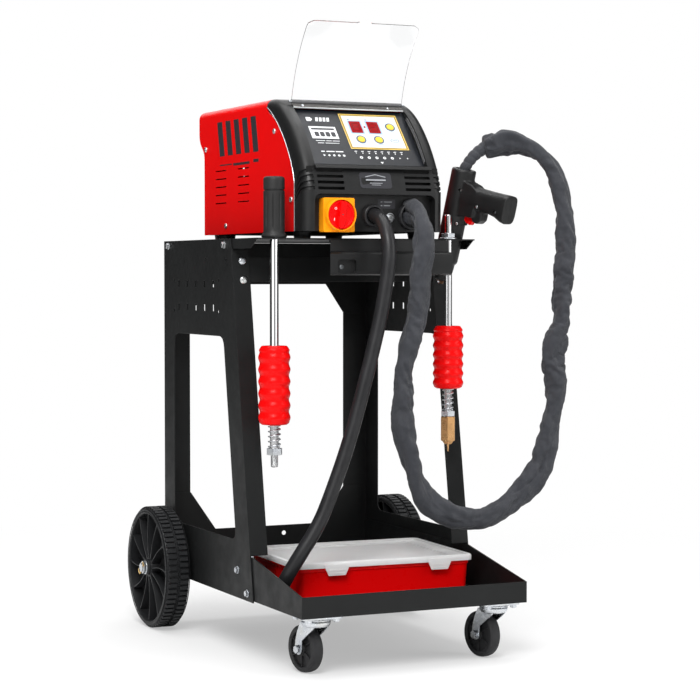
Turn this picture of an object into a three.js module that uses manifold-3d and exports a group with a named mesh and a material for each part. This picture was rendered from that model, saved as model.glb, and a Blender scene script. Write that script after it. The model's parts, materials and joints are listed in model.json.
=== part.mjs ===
// Spot welder for car bodywork on a sheet-metal trolley, with two slide hammers, a pistol gun
// and a box of consumables. Millimetres, +Z up. The front faces -Y and the right side is +X.
// While it is built, X = 0 is the middle of the trolley, Y = 0 is the front lip of the tray and
// Z = 0 is the floor. At the end the group is moved so that the middle of its footprint is the origin.
import * as THREE from 'three';
import { mergeVertices } from 'three/addons/utils/BufferGeometryUtils.js';
import Module from 'manifold-3d';

const wasm = await Module();
wasm.setup();

// ---------------------------------------------------------------- driving dimensions

const GAP = 0.3; // clearance between neighbouring pieces
const SHEET = 2; // thickness of the trolley's sheet metal

// trolley
const SIDE_X = 192; // outer face of a side panel
const REAR_Y = 581; // rear face of the side panels
const SHELF_Z = 654; // top of the shelf
const SHELF_FRONT_Y = 171;
const SHELF_LIP = 16;
const PANEL_BOTTOM_Z = 88.6;
const PANEL_BOTTOM_Y = 182.8; // foot of the slanting front edge
const PANEL_TOP_Y = 274.6; // head of the slanting front edge
const FRONT_SLOPE = (PANEL_TOP_Y - PANEL_BOTTOM_Y) / (SHELF_Z - PANEL_BOTTOM_Z);
const FLANGE_FRONT = 30;
const FLANGE_REAR = 46.3;
const WINDOW_BOTTOM_Z = 179;
const WINDOW_TOP_Z = 498.5;
const WINDOW_REAR_Y = 531.5;
const WINDOW_STRIP = 57; // width of the strip in front of the window
const TRAY_Z = 91; // underside of the tray
const TRAY_LIP_Z = 123.4; // top of the front lip
const TRAY_WALL_Z = 158; // top of the side walls where they meet the panels
const TRAY_WALL_Y = 187;
const AXLE_Y = 536;
const REAR_WHEEL_R = 102.3;
const REAR_WHEEL_IN_X = 199.5;
const REAR_WHEEL_OUT_X = 241.5;
const AXLE_R = 7.5;
const AXLE_END_X = 252;
const CASTER_X = 151;
const CASTER_Y = 36;
const CASTER_R = 36;
const CASTER_TRAIL = 28;
const CASTER_YAW = 10; // degrees the castors are turned at rest

// welder
const CASE_X = 120.6; // half width of the case
const CASE_BOTTOM_Z = 664.5;
const CASE_TOP_Z = 877;
const CASE_SHEET = 1.6;
const CASE_REAR_Y = 573;
const HOOD_REAR_Y = 597;
const LOUVRE_Y = [472, 371]; // front ends of the two columns of slots in each side of the case
const LOUVRE_LENGTH = 50;
const LOUVRE_HEIGHT = 2;
const LOUVRE_LOW_Z = 716.2;
const LOUVRE_PITCH = 13.6;
const LOUVRE_ROWS = 5;
const BEZEL_Y = 144.5; // front of the bezel
const BEZEL_WALL = 4;
const PANEL_LOW = [168, 768]; // lower edge of the control panel, as Y and Z
const PANEL_HIGH = [250, 860]; // upper edge
const PANEL_X = 97.5;
const PANEL_T = 4;
const HINGE = [251, 871.5]; // axis of the visor hinge, as Y and Z
const VISOR_EDGE = [183, 992]; // free edge of the raised visor
const VISOR_X = 97;
const VISOR_BULGE = 9;
const VISOR_T = 2.5;
const FOOT_XY = [100, 202, 520];
const RECESS_Y = 162; // back of the recess that holds the switch and the cable outlets
const RECESS_TOP_Z = 722;
const SWITCH_XZ = [-63, 689.5];
const KNOB_R = 20;
const KNOB_FRONT = 18; // how far its disc stands off the plate, without the bar
const COLLAR_R = 25;
const COLLAR_HEIGHT = 11;
const GROUND_OUT = [1.8, 689.5];
const GUN_OUT = [68, 689.5];

// slide hammers: X, Y of their rods
const LEFT_ROD = [-152.8, 190];
const RIGHT_ROD = [147.5, 182];
const LEFT_ROD_R = 6.8;
const RIGHT_ROD_R = 6.1;

// gun: where its axis crosses the shelf, its lean and the direction of its handle, in degrees
const GUN_XY = [166.5, 212];
const GUN_LEAN = 14.5;
const GUN_YAW = 24;
const GUN_R = 19.5;
const GUN_HOLE_R = 21;

// box of consumables
const BOX_CENTRE = [10.2, 226.6];
const BOX_SIZE = [302, 223];
const BOX_YAW = -2.7;
const BOX_FLOOR_Z = TRAY_Z + SHEET + GAP;
const BOX_RIM_Z = 145;
const BOX_LID_Z = 155;

// ---------------------------------------------------------------- materials

function finish(color, roughness, metalness) {
  return new THREE.MeshStandardMaterial({ color, roughness, metalness });
}

const powderCoat = () => finish(0x1b1b1c, 0.5, 0.1);
const redPaint = () => finish(0xe3120f, 0.35, 0.05);
const redPlastic = () => finish(0xdf1510, 0.45, 0);
const blackPlastic = () => finish(0x202123, 0.55, 0);
const blackRubber = () => finish(0x151515, 0.85, 0);
const zinc = () => finish(0xb9bcc0, 0.35, 0.9);
const chrome = () => finish(0xd8dadd, 0.15, 1);
const copper = () => finish(0xb87a45, 0.35, 0.9);
const greyFabric = () => finish(0x4a4c51, 0.95, 0);
const orangePlastic = () => finish(0xf6a51a, 0.4, 0);
const panelFilm = () => finish(0x16181d, 0.4, 0);

function clearPlastic() {
  const material = finish(0xf2f5f7, 0.12, 0);
  material.transparent = true;
  material.opacity = 0.35;
  return material;
}

// ---------------------------------------------------------------- geometry helpers

// A closed three.js geometry as a manifold solid, with its faces pointing out.
function toSolid(geometry) {
  const bare = geometry.index ? geometry.toNonIndexed() : geometry.clone();
  bare.deleteAttribute('normal');
  bare.deleteAttribute('uv');
  const merged = mergeVertices(bare, 1e-4);
  const index = merged.index.array;
  const position = merged.attributes.position.array;
  const triangles = [];
  let volume = 0;
  const a = new THREE.Vector3();
  const b = new THREE.Vector3();
  const c = new THREE.Vector3();
  for (let i = 0; i < index.length; i += 3) {
    const [p, q, r] = [index[i], index[i + 1], index[i + 2]];
    if (p === q || q === r || r === p) continue;
    triangles.push([p, q, r]);
    a.fromArray(position, 3 * p);
    b.fromArray(position, 3 * q);
    c.fromArray(position, 3 * r);
    volume += a.dot(b.cross(c));
  }
  const ordered = volume < 0 ? triangles.map(([p, q, r]) => [p, r, q]) : triangles;
  return new wasm.Manifold(new wasm.Mesh({
    numProp: 3,
    vertProperties: Float32Array.from(position),
    triVerts: Uint32Array.from(ordered.flat()),
  }));
}

function toMesh(name, solid, material) {
  const data = solid.getMesh();
  const geometry = new THREE.BufferGeometry();
  geometry.setAttribute('position', new THREE.BufferAttribute(data.vertProperties, 3));
  geometry.setIndex(new THREE.BufferAttribute(data.triVerts, 1));
  geometry.computeVertexNormals();
  const mesh = new THREE.Mesh(geometry, material);
  mesh.name = name;
  return mesh;
}

function box(x0, x1, y0, y1, z0, z1) {
  const geometry = new THREE.BoxGeometry(x1 - x0, y1 - y0, z1 - z0);
  geometry.translate((x0 + x1) / 2, (y0 + y1) / 2, (z0 + z1) / 2);
  return toSolid(geometry);
}

// The plane an outline is drawn in, as the directions of its first axis, second axis and depth.
const PLANES = {
  XY: [[1, 0, 0], [0, 1, 0], [0, 0, 1]],
  YZ: [[0, 1, 0], [0, 0, 1], [1, 0, 0]],
  ZX: [[0, 0, 1], [1, 0, 0], [0, 1, 0]],
};

// An outline in one of the planes, extruded from one depth to another.
function prism(plane, shape, from, to, curveSegments = 8) {
  const outline = Array.isArray(shape)
    ? new THREE.Shape(shape.map(([u, v]) => new THREE.Vector2(u, v)))
    : shape;
  const settings = { depth: to - from, bevelEnabled: false, curveSegments };
  const geometry = new THREE.ExtrudeGeometry(outline, settings);
  geometry.translate(0, 0, from);
  const axes = PLANES[plane].map((axis) => new THREE.Vector3(...axis));
  geometry.applyMatrix4(new THREE.Matrix4().makeBasis(...axes));
  return toSolid(geometry);
}

// A round bar along an axis, given its centre in the other two coordinates.
function rod(axis, centre, from, to, radius, sides = 24, endRadius = radius) {
  const geometry = new THREE.CylinderGeometry(endRadius, radius, to - from, sides);
  geometry.translate(0, (from + to) / 2, 0);
  if (axis === 'z') geometry.rotateX(Math.PI / 2).translate(centre[0], centre[1], 0);
  if (axis === 'x') geometry.rotateZ(-Math.PI / 2).translate(0, centre[0], centre[1]);
  if (axis === 'y') geometry.translate(centre[0], 0, centre[1]);
  return toSolid(geometry);
}

// A turned solid about Z. The profile is a list of radius and height.
function turned(profile, sides = 32) {
  const geometry = new THREE.LatheGeometry(profile.map(([r, h]) => new THREE.Vector2(r, h)), sides);
  geometry.rotateX(Math.PI / 2);
  return toSolid(geometry);
}

// A round tube or cord through a list of points.
function cord(points, radius, sides, steps) {
  const path = new THREE.CatmullRomCurve3(points.map((p) => new THREE.Vector3(...p)), false, 'centripetal');
  return cordAlong(path, radius, sides, steps);
}

function cordAlong(path, radius, sides, steps) {
  const ring = [];
  for (let i = 0; i < sides; i += 1) {
    const angle = (2 * Math.PI * i) / sides;
    ring.push(new THREE.Vector2(radius * Math.cos(angle), radius * Math.sin(angle)));
  }
  const options = { steps, bevelEnabled: false, extrudePath: path };
  return toSolid(new THREE.ExtrudeGeometry(new THREE.Shape(ring), options));
}

function join(...solids) {
  return solids.reduce((sum, solid) => sum.add(solid));
}

function cut(solid, ...tools) {
  return tools.reduce((rest, tool) => rest.subtract(tool), solid);
}

function mirrorX(solid) {
  return solid.mirror([1, 0, 0]);
}

// An outline with straight sides and its corners rounded by one radius.
function roundedShape(corners, radius) {
  const shape = new THREE.Shape();
  const points = corners.map(([u, v]) => new THREE.Vector2(u, v));
  points.forEach((corner, i) => {
    const before = points[(i + points.length - 1) % points.length];
    const after = points[(i + 1) % points.length];
    const start = corner.clone().add(before.clone().sub(corner).setLength(radius));
    const end = corner.clone().add(after.clone().sub(corner).setLength(radius));
    if (i === 0) shape.moveTo(start.x, start.y);
    else shape.lineTo(start.x, start.y);
    shape.quadraticCurveTo(corner.x, corner.y, end.x, end.y);
  });
  shape.closePath();
  return shape;
}

function rectangle(u0, u1, v0, v1) {
  return [[u0, v0], [u1, v0], [u1, v1], [u0, v1]];
}

// ---------------------------------------------------------------- trolley

// Y of the slanting front edge of a side panel at height z
function frontEdge(z) {
  return PANEL_BOTTOM_Y + (z - PANEL_BOTTOM_Z) * FRONT_SLOPE;
}

const SLOT_Y = [351.1, 390.5, 429.9, 469.3, 508.7];
const SLOT_Z = [582, 543.4];
const SLOT_SIZE = [7, 10.4];
const SMALL_HOLES = [
  [328.3, 588.2], [532.2, 588.2], [328.5, 537.7], [531.4, 537.6], [294.9, 620.5], [384, 621.8],
];

function sidePanelHoles() {
  const from = SIDE_X - 2 * SHEET;
  const to = SIDE_X + SHEET;
  const window = roundedShape([
    [frontEdge(WINDOW_BOTTOM_Z) + WINDOW_STRIP, WINDOW_BOTTOM_Z],
    [WINDOW_REAR_Y, WINDOW_BOTTOM_Z],
    [WINDOW_REAR_Y, WINDOW_TOP_Z],
    [frontEdge(WINDOW_TOP_Z) + WINDOW_STRIP, WINDOW_TOP_Z],
  ], 18);
  const holes = [prism('YZ', window, from, to, 4)];
  for (const y of SLOT_Y) {
    for (const z of SLOT_Z) {
      const [w, h] = SLOT_SIZE;
      holes.push(box(from, to, y - w / 2, y + w / 2, z - h / 2, z + h / 2));
    }
  }
  for (const centre of SMALL_HOLES) holes.push(rod('x', centre, from, to, 3, 8));
  holes.push(rod('x', [AXLE_Y, REAR_WHEEL_R], from, to, AXLE_R + 0.4, 20));
  return holes;
}

function sidePanel() {
  const web = prism('YZ', [
    [PANEL_BOTTOM_Y, PANEL_BOTTOM_Z],
    [REAR_Y, PANEL_BOTTOM_Z],
    [REAR_Y, SHELF_Z],
    [PANEL_TOP_Y, SHELF_Z],
  ], SIDE_X - SHEET, SIDE_X);
  const flangeLow = TRAY_WALL_Z + 2.5;
  const front = prism('YZ', [
    [frontEdge(flangeLow), flangeLow],
    [frontEdge(flangeLow) + SHEET, flangeLow],
    [frontEdge(SHELF_Z) + SHEET, SHELF_Z],
    [frontEdge(SHELF_Z), SHELF_Z],
  ], SIDE_X - FLANGE_FRONT, SIDE_X);
  const shelfCorner = box(0, SIDE_X - SHEET, PANEL_TOP_Y - 40, PANEL_TOP_Y + 20,
    SHELF_Z - SHELF_LIP - 1, SHELF_Z + 1);
  const rear = box(SIDE_X - FLANGE_REAR, SIDE_X, REAR_Y - SHEET, REAR_Y, PANEL_BOTTOM_Z, SHELF_Z);
  return cut(join(web, cut(front, shelfCorner), rear), ...sidePanelHoles());
}

function topShelf() {
  const inside = SIDE_X - SHEET - GAP;
  const rear = REAR_Y - 2 * SHEET - 2 * GAP;
  const top = box(-inside, inside, SHELF_FRONT_Y, rear, SHELF_Z - SHEET, SHELF_Z);
  const lip = prism('YZ', [
    [SHELF_FRONT_Y, SHELF_Z],
    [SHELF_FRONT_Y + 27, SHELF_Z - SHELF_LIP],
    [rear, SHELF_Z - SHELF_LIP],
    [rear, SHELF_Z],
  ], inside - SHEET, inside);
  const holes = [
    rod('z', LEFT_ROD, SHELF_Z - 5, SHELF_Z + 5, LEFT_ROD_R + 1.2, 20),
    rod('z', RIGHT_ROD, SHELF_Z - 5, SHELF_Z + 5, RIGHT_ROD_R + 1.2, 20),
    rod('z', GUN_XY, SHELF_Z - 5, SHELF_Z + 5, GUN_HOLE_R, 28),
  ];
  return cut(join(top, lip, mirrorX(lip)), ...holes);
}

const CROSSBAR_Z = [585.5, 624.7];

// A channel bolted behind the two front flanges, leaning with them.
function frontCrossbar() {
  const [low, high] = CROSSBAR_Z;
  const depth = 12;
  const face = (z) => frontEdge(z) + SHEET + GAP;
  const profile = [
    [face(low), low],
    [face(low) + depth, low],
    [face(low) + depth, low + SHEET],
    [face(low) + SHEET, low + SHEET],
    [face(high) + SHEET, high - SHEET],
    [face(high) + depth, high - SHEET],
    [face(high) + depth, high],
    [face(high), high],
  ];
  const half = SIDE_X - SHEET - 8;
  return prism('YZ', profile, -half, half);
}

const HANDLE_X = [-75, 139];
const HANDLE_FRONT_Y = 150.6;
const HANDLE_BOTTOM_Z = 596;
const HANDLE_RADIUS = 22;
const HANDLE_WALL = 4;

// Section of the moulded handle at a distance inside its outer face.
function handleSection(inset, rear) {
  const top = SHELF_Z - SHEET - GAP - inset;
  const front = HANDLE_FRONT_Y + inset;
  const radius = HANDLE_RADIUS - inset;
  const shape = new THREE.Shape();
  shape.moveTo(rear, top);
  shape.lineTo(front + radius, top);
  shape.absarc(front + radius, top - radius, radius, Math.PI / 2, Math.PI, false);
  shape.lineTo(front, HANDLE_BOTTOM_Z - inset);
  shape.lineTo(rear, HANDLE_BOTTOM_Z - inset);
  shape.closePath();
  return shape;
}

function frontHandle() {
  const [left, right] = HANDLE_X;
  const rear = HANDLE_FRONT_Y + HANDLE_RADIUS;
  const body = prism('YZ', handleSection(0, rear), left, right, 6);
  const hollow = prism('YZ', handleSection(HANDLE_WALL, rear + 10),
    left + HANDLE_WALL, right - HANDLE_WALL, 6);
  const openBottom = box(left + HANDLE_WALL, right - HANDLE_WALL, HANDLE_FRONT_Y + HANDLE_WALL, rear + 10,
    HANDLE_BOTTOM_Z - 5, HANDLE_BOTTOM_Z + 10);
  const top = SHELF_Z - SHEET - GAP;
  const tongue = box(left + 10, right - 12, rear - 8, rear + 22, top - HANDLE_WALL, top);
  return join(cut(body, hollow, openBottom), tongue);
}

const REAR_PANEL_X = 178;
const GUSSET_X = SIDE_X - FLANGE_REAR;

function rearTopPanel() {
  const outline = [
    [528, -REAR_PANEL_X], [528, -GUSSET_X], [580, -110.5], [580, 110.5],
    [528, GUSSET_X], [528, REAR_PANEL_X], [636, REAR_PANEL_X], [636, GUSSET_X + 30],
    [SHELF_Z - SHEET - GAP, GUSSET_X + 30], [SHELF_Z - SHEET - GAP, -GUSSET_X - 30],
    [636, -GUSSET_X - 30], [636, -REAR_PANEL_X],
  ];
  const rear = REAR_Y - SHEET - GAP;
  return prism('ZX', outline, rear - SHEET, rear);
}

function rearLowerPanel() {
  const outline = [
    [92, -REAR_PANEL_X], [92, REAR_PANEL_X], [221, REAR_PANEL_X], [221, GUSSET_X],
    [155.4, 100], [155.4, -100], [221, -GUSSET_X], [221, -REAR_PANEL_X],
  ];
  const rear = REAR_Y - SHEET - GAP;
  const hole = rod('y', [29.2, 141.4], rear - 5, rear + 5, 4, 14);
  return cut(prism('ZX', outline, rear - SHEET, rear), hole);
}

function storageTray() {
  const inside = SIDE_X - SHEET - GAP;
  const rear = REAR_Y - 2 * SHEET - 2 * GAP;
  const floor = box(-inside, inside, 0, rear, TRAY_Z, TRAY_Z + SHEET);
  const lip = box(-inside, inside, 0, SHEET, TRAY_Z, TRAY_LIP_Z);
  const wall = prism('YZ', [
    [0, TRAY_Z], [rear, TRAY_Z], [rear, TRAY_WALL_Z], [TRAY_WALL_Y, TRAY_WALL_Z], [0, TRAY_LIP_Z],
  ], inside - SHEET, inside);
  const axleHole = rod('x', [AXLE_Y, REAR_WHEEL_R], -SIDE_X, SIDE_X, AXLE_R + 0.4, 20);
  return cut(join(floor, lip, wall, mirrorX(wall)), axleHole);
}

// A one-piece moulded wheel about X: rim with its tread, thin spokes, hub.
function rearWheel() {
  const inner = REAR_WHEEL_IN_X;
  const outer = REAR_WHEEL_OUT_X;
  const rimR = 84;
  const hubR = 20;
  const spokes = 10;
  const rim = cut(
    turned([[0, inner], [REAR_WHEEL_R - 5, inner], [REAR_WHEEL_R, inner + 4],
      [REAR_WHEEL_R, outer - 4], [REAR_WHEEL_R - 5, outer], [0, outer]], 28),
    rod('z', [0, 0], inner - 1, outer + 1, rimR, 28),
  );
  const hub = rod('z', [0, 0], inner - 2, outer + 2, hubR, 18);
  const parts = [rim, hub];
  for (let i = 0; i < spokes; i += 1) {
    const spoke = box(hubR - 3, rimR + 3, -1.8, 1.8, inner + 8, outer - 8);
    parts.push(spoke.rotate([0, 0, (360 * i) / spokes]));
  }
  const bore = rod('z', [0, 0], inner - 5, outer + 5, AXLE_R + 0.4, 16);
  return cut(join(...parts), bore).rotate([0, 90, 0]);
}

function addTrolley(root) {
  const panel = sidePanel();
  root.add(toMesh('side_panel_right', panel, powderCoat()));
  root.add(toMesh('side_panel_left', mirrorX(panel), powderCoat()));
  root.add(toMesh('top_shelf', topShelf(), powderCoat()));
  root.add(toMesh('front_crossbar', frontCrossbar(), powderCoat()));
  root.add(toMesh('front_handle', frontHandle(), blackPlastic()));
  root.add(toMesh('rear_top_panel', rearTopPanel(), powderCoat()));
  root.add(toMesh('rear_lower_panel', rearLowerPanel(), powderCoat()));
  root.add(toMesh('storage_tray', storageTray(), powderCoat()));
  const axleCentre = [AXLE_Y, REAR_WHEEL_R];
  root.add(toMesh('rear_axle', rod('x', axleCentre, -AXLE_END_X, AXLE_END_X, AXLE_R, 20), zinc()));
  for (const [side, turn] of [['right', 0], ['left', Math.PI]]) {
    const wheel = toMesh(`rear_wheel_${side}`, rearWheel(), blackPlastic());
    wheel.position.set(0, AXLE_Y, REAR_WHEEL_R);
    wheel.rotation.z = turn;
    root.add(wheel);
  }
}

const CASTER_FORK_TOP = 81.7;
const CHEEK_IN = 11.5;
const CHEEK_T = 2.5;

function casterPlate() {
  const half = 31;
  const plate = prism('XY', roundedShape(rectangle(-half, half, -half, half), 6), 87.7, TRAY_Z - GAP, 3);
  const low = CASTER_FORK_TOP + GAP;
  const raceway = turned([[0, low], [19, low], [23, 84.5], [23, 88], [0, 88]], 20);
  return join(plate, raceway);
}

// Fork in its own frame: the swivel axis is Z, the wheel trails towards +Y.
function casterFork() {
  const disc = turned([[0, 73.5], [17, 73.5], [21, 77], [21, CASTER_FORK_TOP], [0, CASTER_FORK_TOP]], 20);
  const cheek = prism('YZ', roundedShape([
    [-14, 79], [16, 79], [CASTER_TRAIL + 8, CASTER_R - 2], [CASTER_TRAIL + 4, CASTER_R - 9],
    [CASTER_TRAIL - 4, CASTER_R - 9], [CASTER_TRAIL - 8, CASTER_R - 2],
  ], 3), CHEEK_IN, CHEEK_IN + CHEEK_T, 2);
  const bolt = rod('x', [CASTER_TRAIL, CASTER_R], CHEEK_IN - 1, CHEEK_IN + 6, 4.4, 16);
  return cut(join(disc, cheek, mirrorX(cheek)), bolt, mirrorX(bolt));
}

// Wheel about X, centred on its own axle.
function casterWheel() {
  const half = 9.5;
  const body = turned([[0, -half], [CASTER_R - 2.5, -half], [CASTER_R, -half + 3], [CASTER_R, half - 3],
    [CASTER_R - 2.5, half], [0, half]], 24);
  return cut(body, rod('z', [0, 0], -half - 1, half + 1, 4.3, 12)).rotate([0, 90, 0]);
}

function casterAxle() {
  const end = CHEEK_IN + CHEEK_T + GAP;
  const shaft = rod('x', [0, 0], -end - 3, end + 3, 4, 16);
  const head = rod('x', [0, 0], end, end + 4.5, 6.5, 6);
  return join(shaft, head, mirrorX(head));
}

function addCaster(root, side, sign) {
  root.add(positioned(toMesh(`caster_plate_${side}`, casterPlate(), zinc()), sign * CASTER_X, CASTER_Y, 0));
  const swivel = new THREE.Group();
  swivel.position.set(sign * CASTER_X, CASTER_Y, 0);
  swivel.rotation.z = THREE.MathUtils.degToRad(CASTER_YAW);
  swivel.add(toMesh(`caster_fork_${side}`, casterFork(), zinc()));
  const wheel = toMesh(`caster_wheel_${side}`, casterWheel(), blackRubber());
  swivel.add(positioned(wheel, 0, CASTER_TRAIL, CASTER_R));
  const axle = toMesh(`caster_axle_${side}`, casterAxle(), zinc());
  swivel.add(positioned(axle, 0, CASTER_TRAIL, CASTER_R));
  root.add(swivel);
}

function positioned(object, x, y, z) {
  object.position.set(x, y, z);
  return object;
}

// ---------------------------------------------------------------- welder

const BEZEL_KNEE_Z = 725; // where the upright front starts to curve back
const SEAM_Y = 186.5; // seam between bezel and case cover, at the bottom
const SEAM_KNEE_Z = 735;
const SEAM_TOP_Y = 298;

function caseSide() {
  const shape = new THREE.Shape();
  shape.moveTo(SEAM_Y, CASE_BOTTOM_Z);
  shape.lineTo(SEAM_Y, SEAM_KNEE_Z);
  shape.bezierCurveTo(SEAM_Y + 1, 772, 243, 840, 285, 853);
  shape.quadraticCurveTo(SEAM_TOP_Y, 860, SEAM_TOP_Y, CASE_TOP_Z + 1);
  shape.lineTo(HOOD_REAR_Y, CASE_TOP_Z + 1);
  shape.lineTo(HOOD_REAR_Y, 838);
  shape.bezierCurveTo(HOOD_REAR_Y, 815, CASE_REAR_Y, 815, CASE_REAR_Y, 795);
  shape.lineTo(CASE_REAR_Y, CASE_BOTTOM_Z);
  shape.closePath();
  return shape;
}

// Cross-section of the case, inset from its outer face, open towards the floor when extended.
function caseSection(inset, bottom) {
  const half = CASE_X - inset;
  const top = CASE_TOP_Z - inset;
  const radius = 13 - inset;
  const shape = new THREE.Shape();
  shape.moveTo(bottom, -half);
  shape.lineTo(top - radius, -half);
  shape.absarc(top - radius, -half + radius, radius, -Math.PI / 2, 0, false);
  shape.absarc(top - radius, half - radius, radius, 0, Math.PI / 2, false);
  shape.lineTo(bottom, half);
  shape.closePath();
  return shape;
}

function caseCover() {
  const block = prism('YZ', caseSide(), -CASE_X, CASE_X, 7);
  const outer = prism('ZX', caseSection(0, CASE_BOTTOM_Z), 100, 700, 5);
  const inner = prism('ZX', caseSection(CASE_SHEET, CASE_BOTTOM_Z - 10), 90, 710, 5);
  const louvres = [];
  for (let row = 0; row < LOUVRE_ROWS; row += 1) {
    const low = LOUVRE_LOW_Z + LOUVRE_PITCH * row;
    for (const y of LOUVRE_Y) {
      louvres.push(box(-CASE_X - 5, CASE_X + 5, y, y + LOUVRE_LENGTH, low, low + LOUVRE_HEIGHT));
    }
  }
  return cut(block.intersect(outer), inner, ...louvres);
}

// Outer profile of the bezel seen from the side, moved in by an inset.
function bezelSide(inset, rear) {
  const front = BEZEL_Y + inset;
  const top = CASE_TOP_Z - inset;
  const shape = new THREE.Shape();
  shape.moveTo(front, CASE_BOTTOM_Z - 4 * inset);
  shape.lineTo(rear, CASE_BOTTOM_Z - 4 * inset);
  shape.lineTo(rear, top);
  shape.lineTo(296, top);
  shape.bezierCurveTo(222, top + 3, front - 1, 762, front, BEZEL_KNEE_Z);
  shape.closePath();
  return shape;
}

// What lies behind the seam, so that the bezel ends a gap in front of the case cover.
function behindSeam() {
  const shape = new THREE.Shape();
  const y = SEAM_Y - GAP;
  shape.moveTo(y, CASE_BOTTOM_Z - 40);
  shape.lineTo(y, SEAM_KNEE_Z);
  shape.bezierCurveTo(y + 1, 772 + GAP, 243 - GAP, 840 + GAP, 285, 853 + GAP);
  shape.quadraticCurveTo(SEAM_TOP_Y - GAP, 860, SEAM_TOP_Y - GAP, CASE_TOP_Z + 20);
  shape.lineTo(700, CASE_TOP_Z + 20);
  shape.lineTo(700, CASE_BOTTOM_Z - 40);
  shape.closePath();
  return prism('YZ', shape, -200, 200, 7);
}

function frontBezel() {
  const outer = prism('YZ', bezelSide(0, 310), -CASE_X, CASE_X, 8);
  const rounded = prism('ZX', caseSection(0, CASE_BOTTOM_Z), 100, 400, 5);
  const hollow = prism('YZ', bezelSide(BEZEL_WALL, 400), -CASE_X + BEZEL_WALL, CASE_X - BEZEL_WALL, 8);
  const shell = cut(outer.intersect(rounded), hollow);
  const [lowY, lowZ] = PANEL_LOW;
  const [highY, highZ] = PANEL_HIGH;
  const opening = prism('YZ', [
    [lowY - 45, lowZ], [lowY + 1, lowZ], [lowY + 30, lowZ - 4], [highY + 30, highZ], [highY + 1, highZ],
    [highY - 5, highZ + 20], [lowY - 45, highZ + 20],
  ], -PANEL_X - GAP, PANEL_X + GAP);
  const ledge = box(-PANEL_X - 2, PANEL_X + 2, BEZEL_Y + 4, lowY - 1, lowZ - 5, lowZ - 1);
  const recessX = 104;
  const recess = prism('ZX', roundedShape([
    [CASE_BOTTOM_Z - 20, -recessX],
    [RECESS_TOP_Z, -recessX],
    [RECESS_TOP_Z, recessX],
    [CASE_BOTTOM_Z - 20, recessX],
  ], 10), BEZEL_Y - 5, RECESS_Y, 4);
  const recessWall = box(-recessX - 3, recessX + 3, BEZEL_Y + 2, RECESS_Y + 3,
    CASE_BOTTOM_Z, RECESS_TOP_Z + 3);
  const ear = join(rod('x', HINGE, VISOR_X + 1, VISOR_X + 4, 5, 18),
    box(VISOR_X + 1, VISOR_X + 4, HINGE[0] - 4, HINGE[0] + 4, HINGE[1] - 8, HINGE[1]));
  const groove = rod('x', HINGE, -VISOR_X - 1, VISOR_X + 1, 5.2, 18);
  const rodHole = rod('x', HINGE, -VISOR_X - 10, VISOR_X + 10, 2.3, 14);
  const outlets = [
    rod('y', GROUND_OUT, RECESS_Y - 5, RECESS_Y + 8, 14.3, 20),
    rod('y', GUN_OUT, RECESS_Y - 5, RECESS_Y + 8, 18.3, 20),
    rod('y', SWITCH_XZ, RECESS_Y - 5, RECESS_Y + 8, 8, 16),
  ];
  const vents = [];
  for (let i = 0; i < 4; i += 1) {
    const z = 728.3 + 9.3 * i;
    vents.push(box(-98, -54, BEZEL_Y - 5, BEZEL_Y + 12, z, z + 4.6));
    vents.push(box(52, 96, BEZEL_Y - 5, BEZEL_Y + 12, z, z + 4.6));
  }
  const body = join(cut(shell, opening), ledge, ear, mirrorX(ear), recessWall);
  return cut(body, recess, groove, rodHole, ...outlets, ...vents, behindSeam());
}

// The control panel in its own frame: X across, Y up the slope, Z out of the face.
const PANEL_LENGTH = Math.hypot(PANEL_HIGH[0] - PANEL_LOW[0], PANEL_HIGH[1] - PANEL_LOW[1]);
const PANEL_SLOPE = Math.atan2(PANEL_HIGH[1] - PANEL_LOW[1], PANEL_HIGH[0] - PANEL_LOW[0]);
const BUTTONS = [[64.2, 87], [4.2, 57.5], [35.4, 57.5]];
const BUTTON_R = 6.2;
const BUTTON_TRAVEL = 1.2;
const DISPLAYS = [[-7, 13], [24, 44]];

function controlPanel() {
  const margin = 1.2;
  const plate = box(-PANEL_X, PANEL_X, margin, PANEL_LENGTH - margin, -PANEL_T, 0);
  const holes = BUTTONS.map((centre) => rod('z', centre, -PANEL_T - 1, 1, BUTTON_R + 0.4, 14));
  for (const [left, right] of DISPLAYS) holes.push(box(left, right, 72, 97.5, -0.8, 1));
  return cut(plate, ...holes);
}

function button() {
  return join(rod('z', [0, 0], -PANEL_T, 1.8, BUTTON_R, 14),
    rod('z', [0, 0], -PANEL_T - BUTTON_TRAVEL - 2.5, -PANEL_T - BUTTON_TRAVEL - 0.5, BUTTON_R + 1.5, 12),
    rod('z', [0, 0], -PANEL_T - BUTTON_TRAVEL - 1, -PANEL_T + 0.5, BUTTON_R - 2, 8));
}

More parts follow.
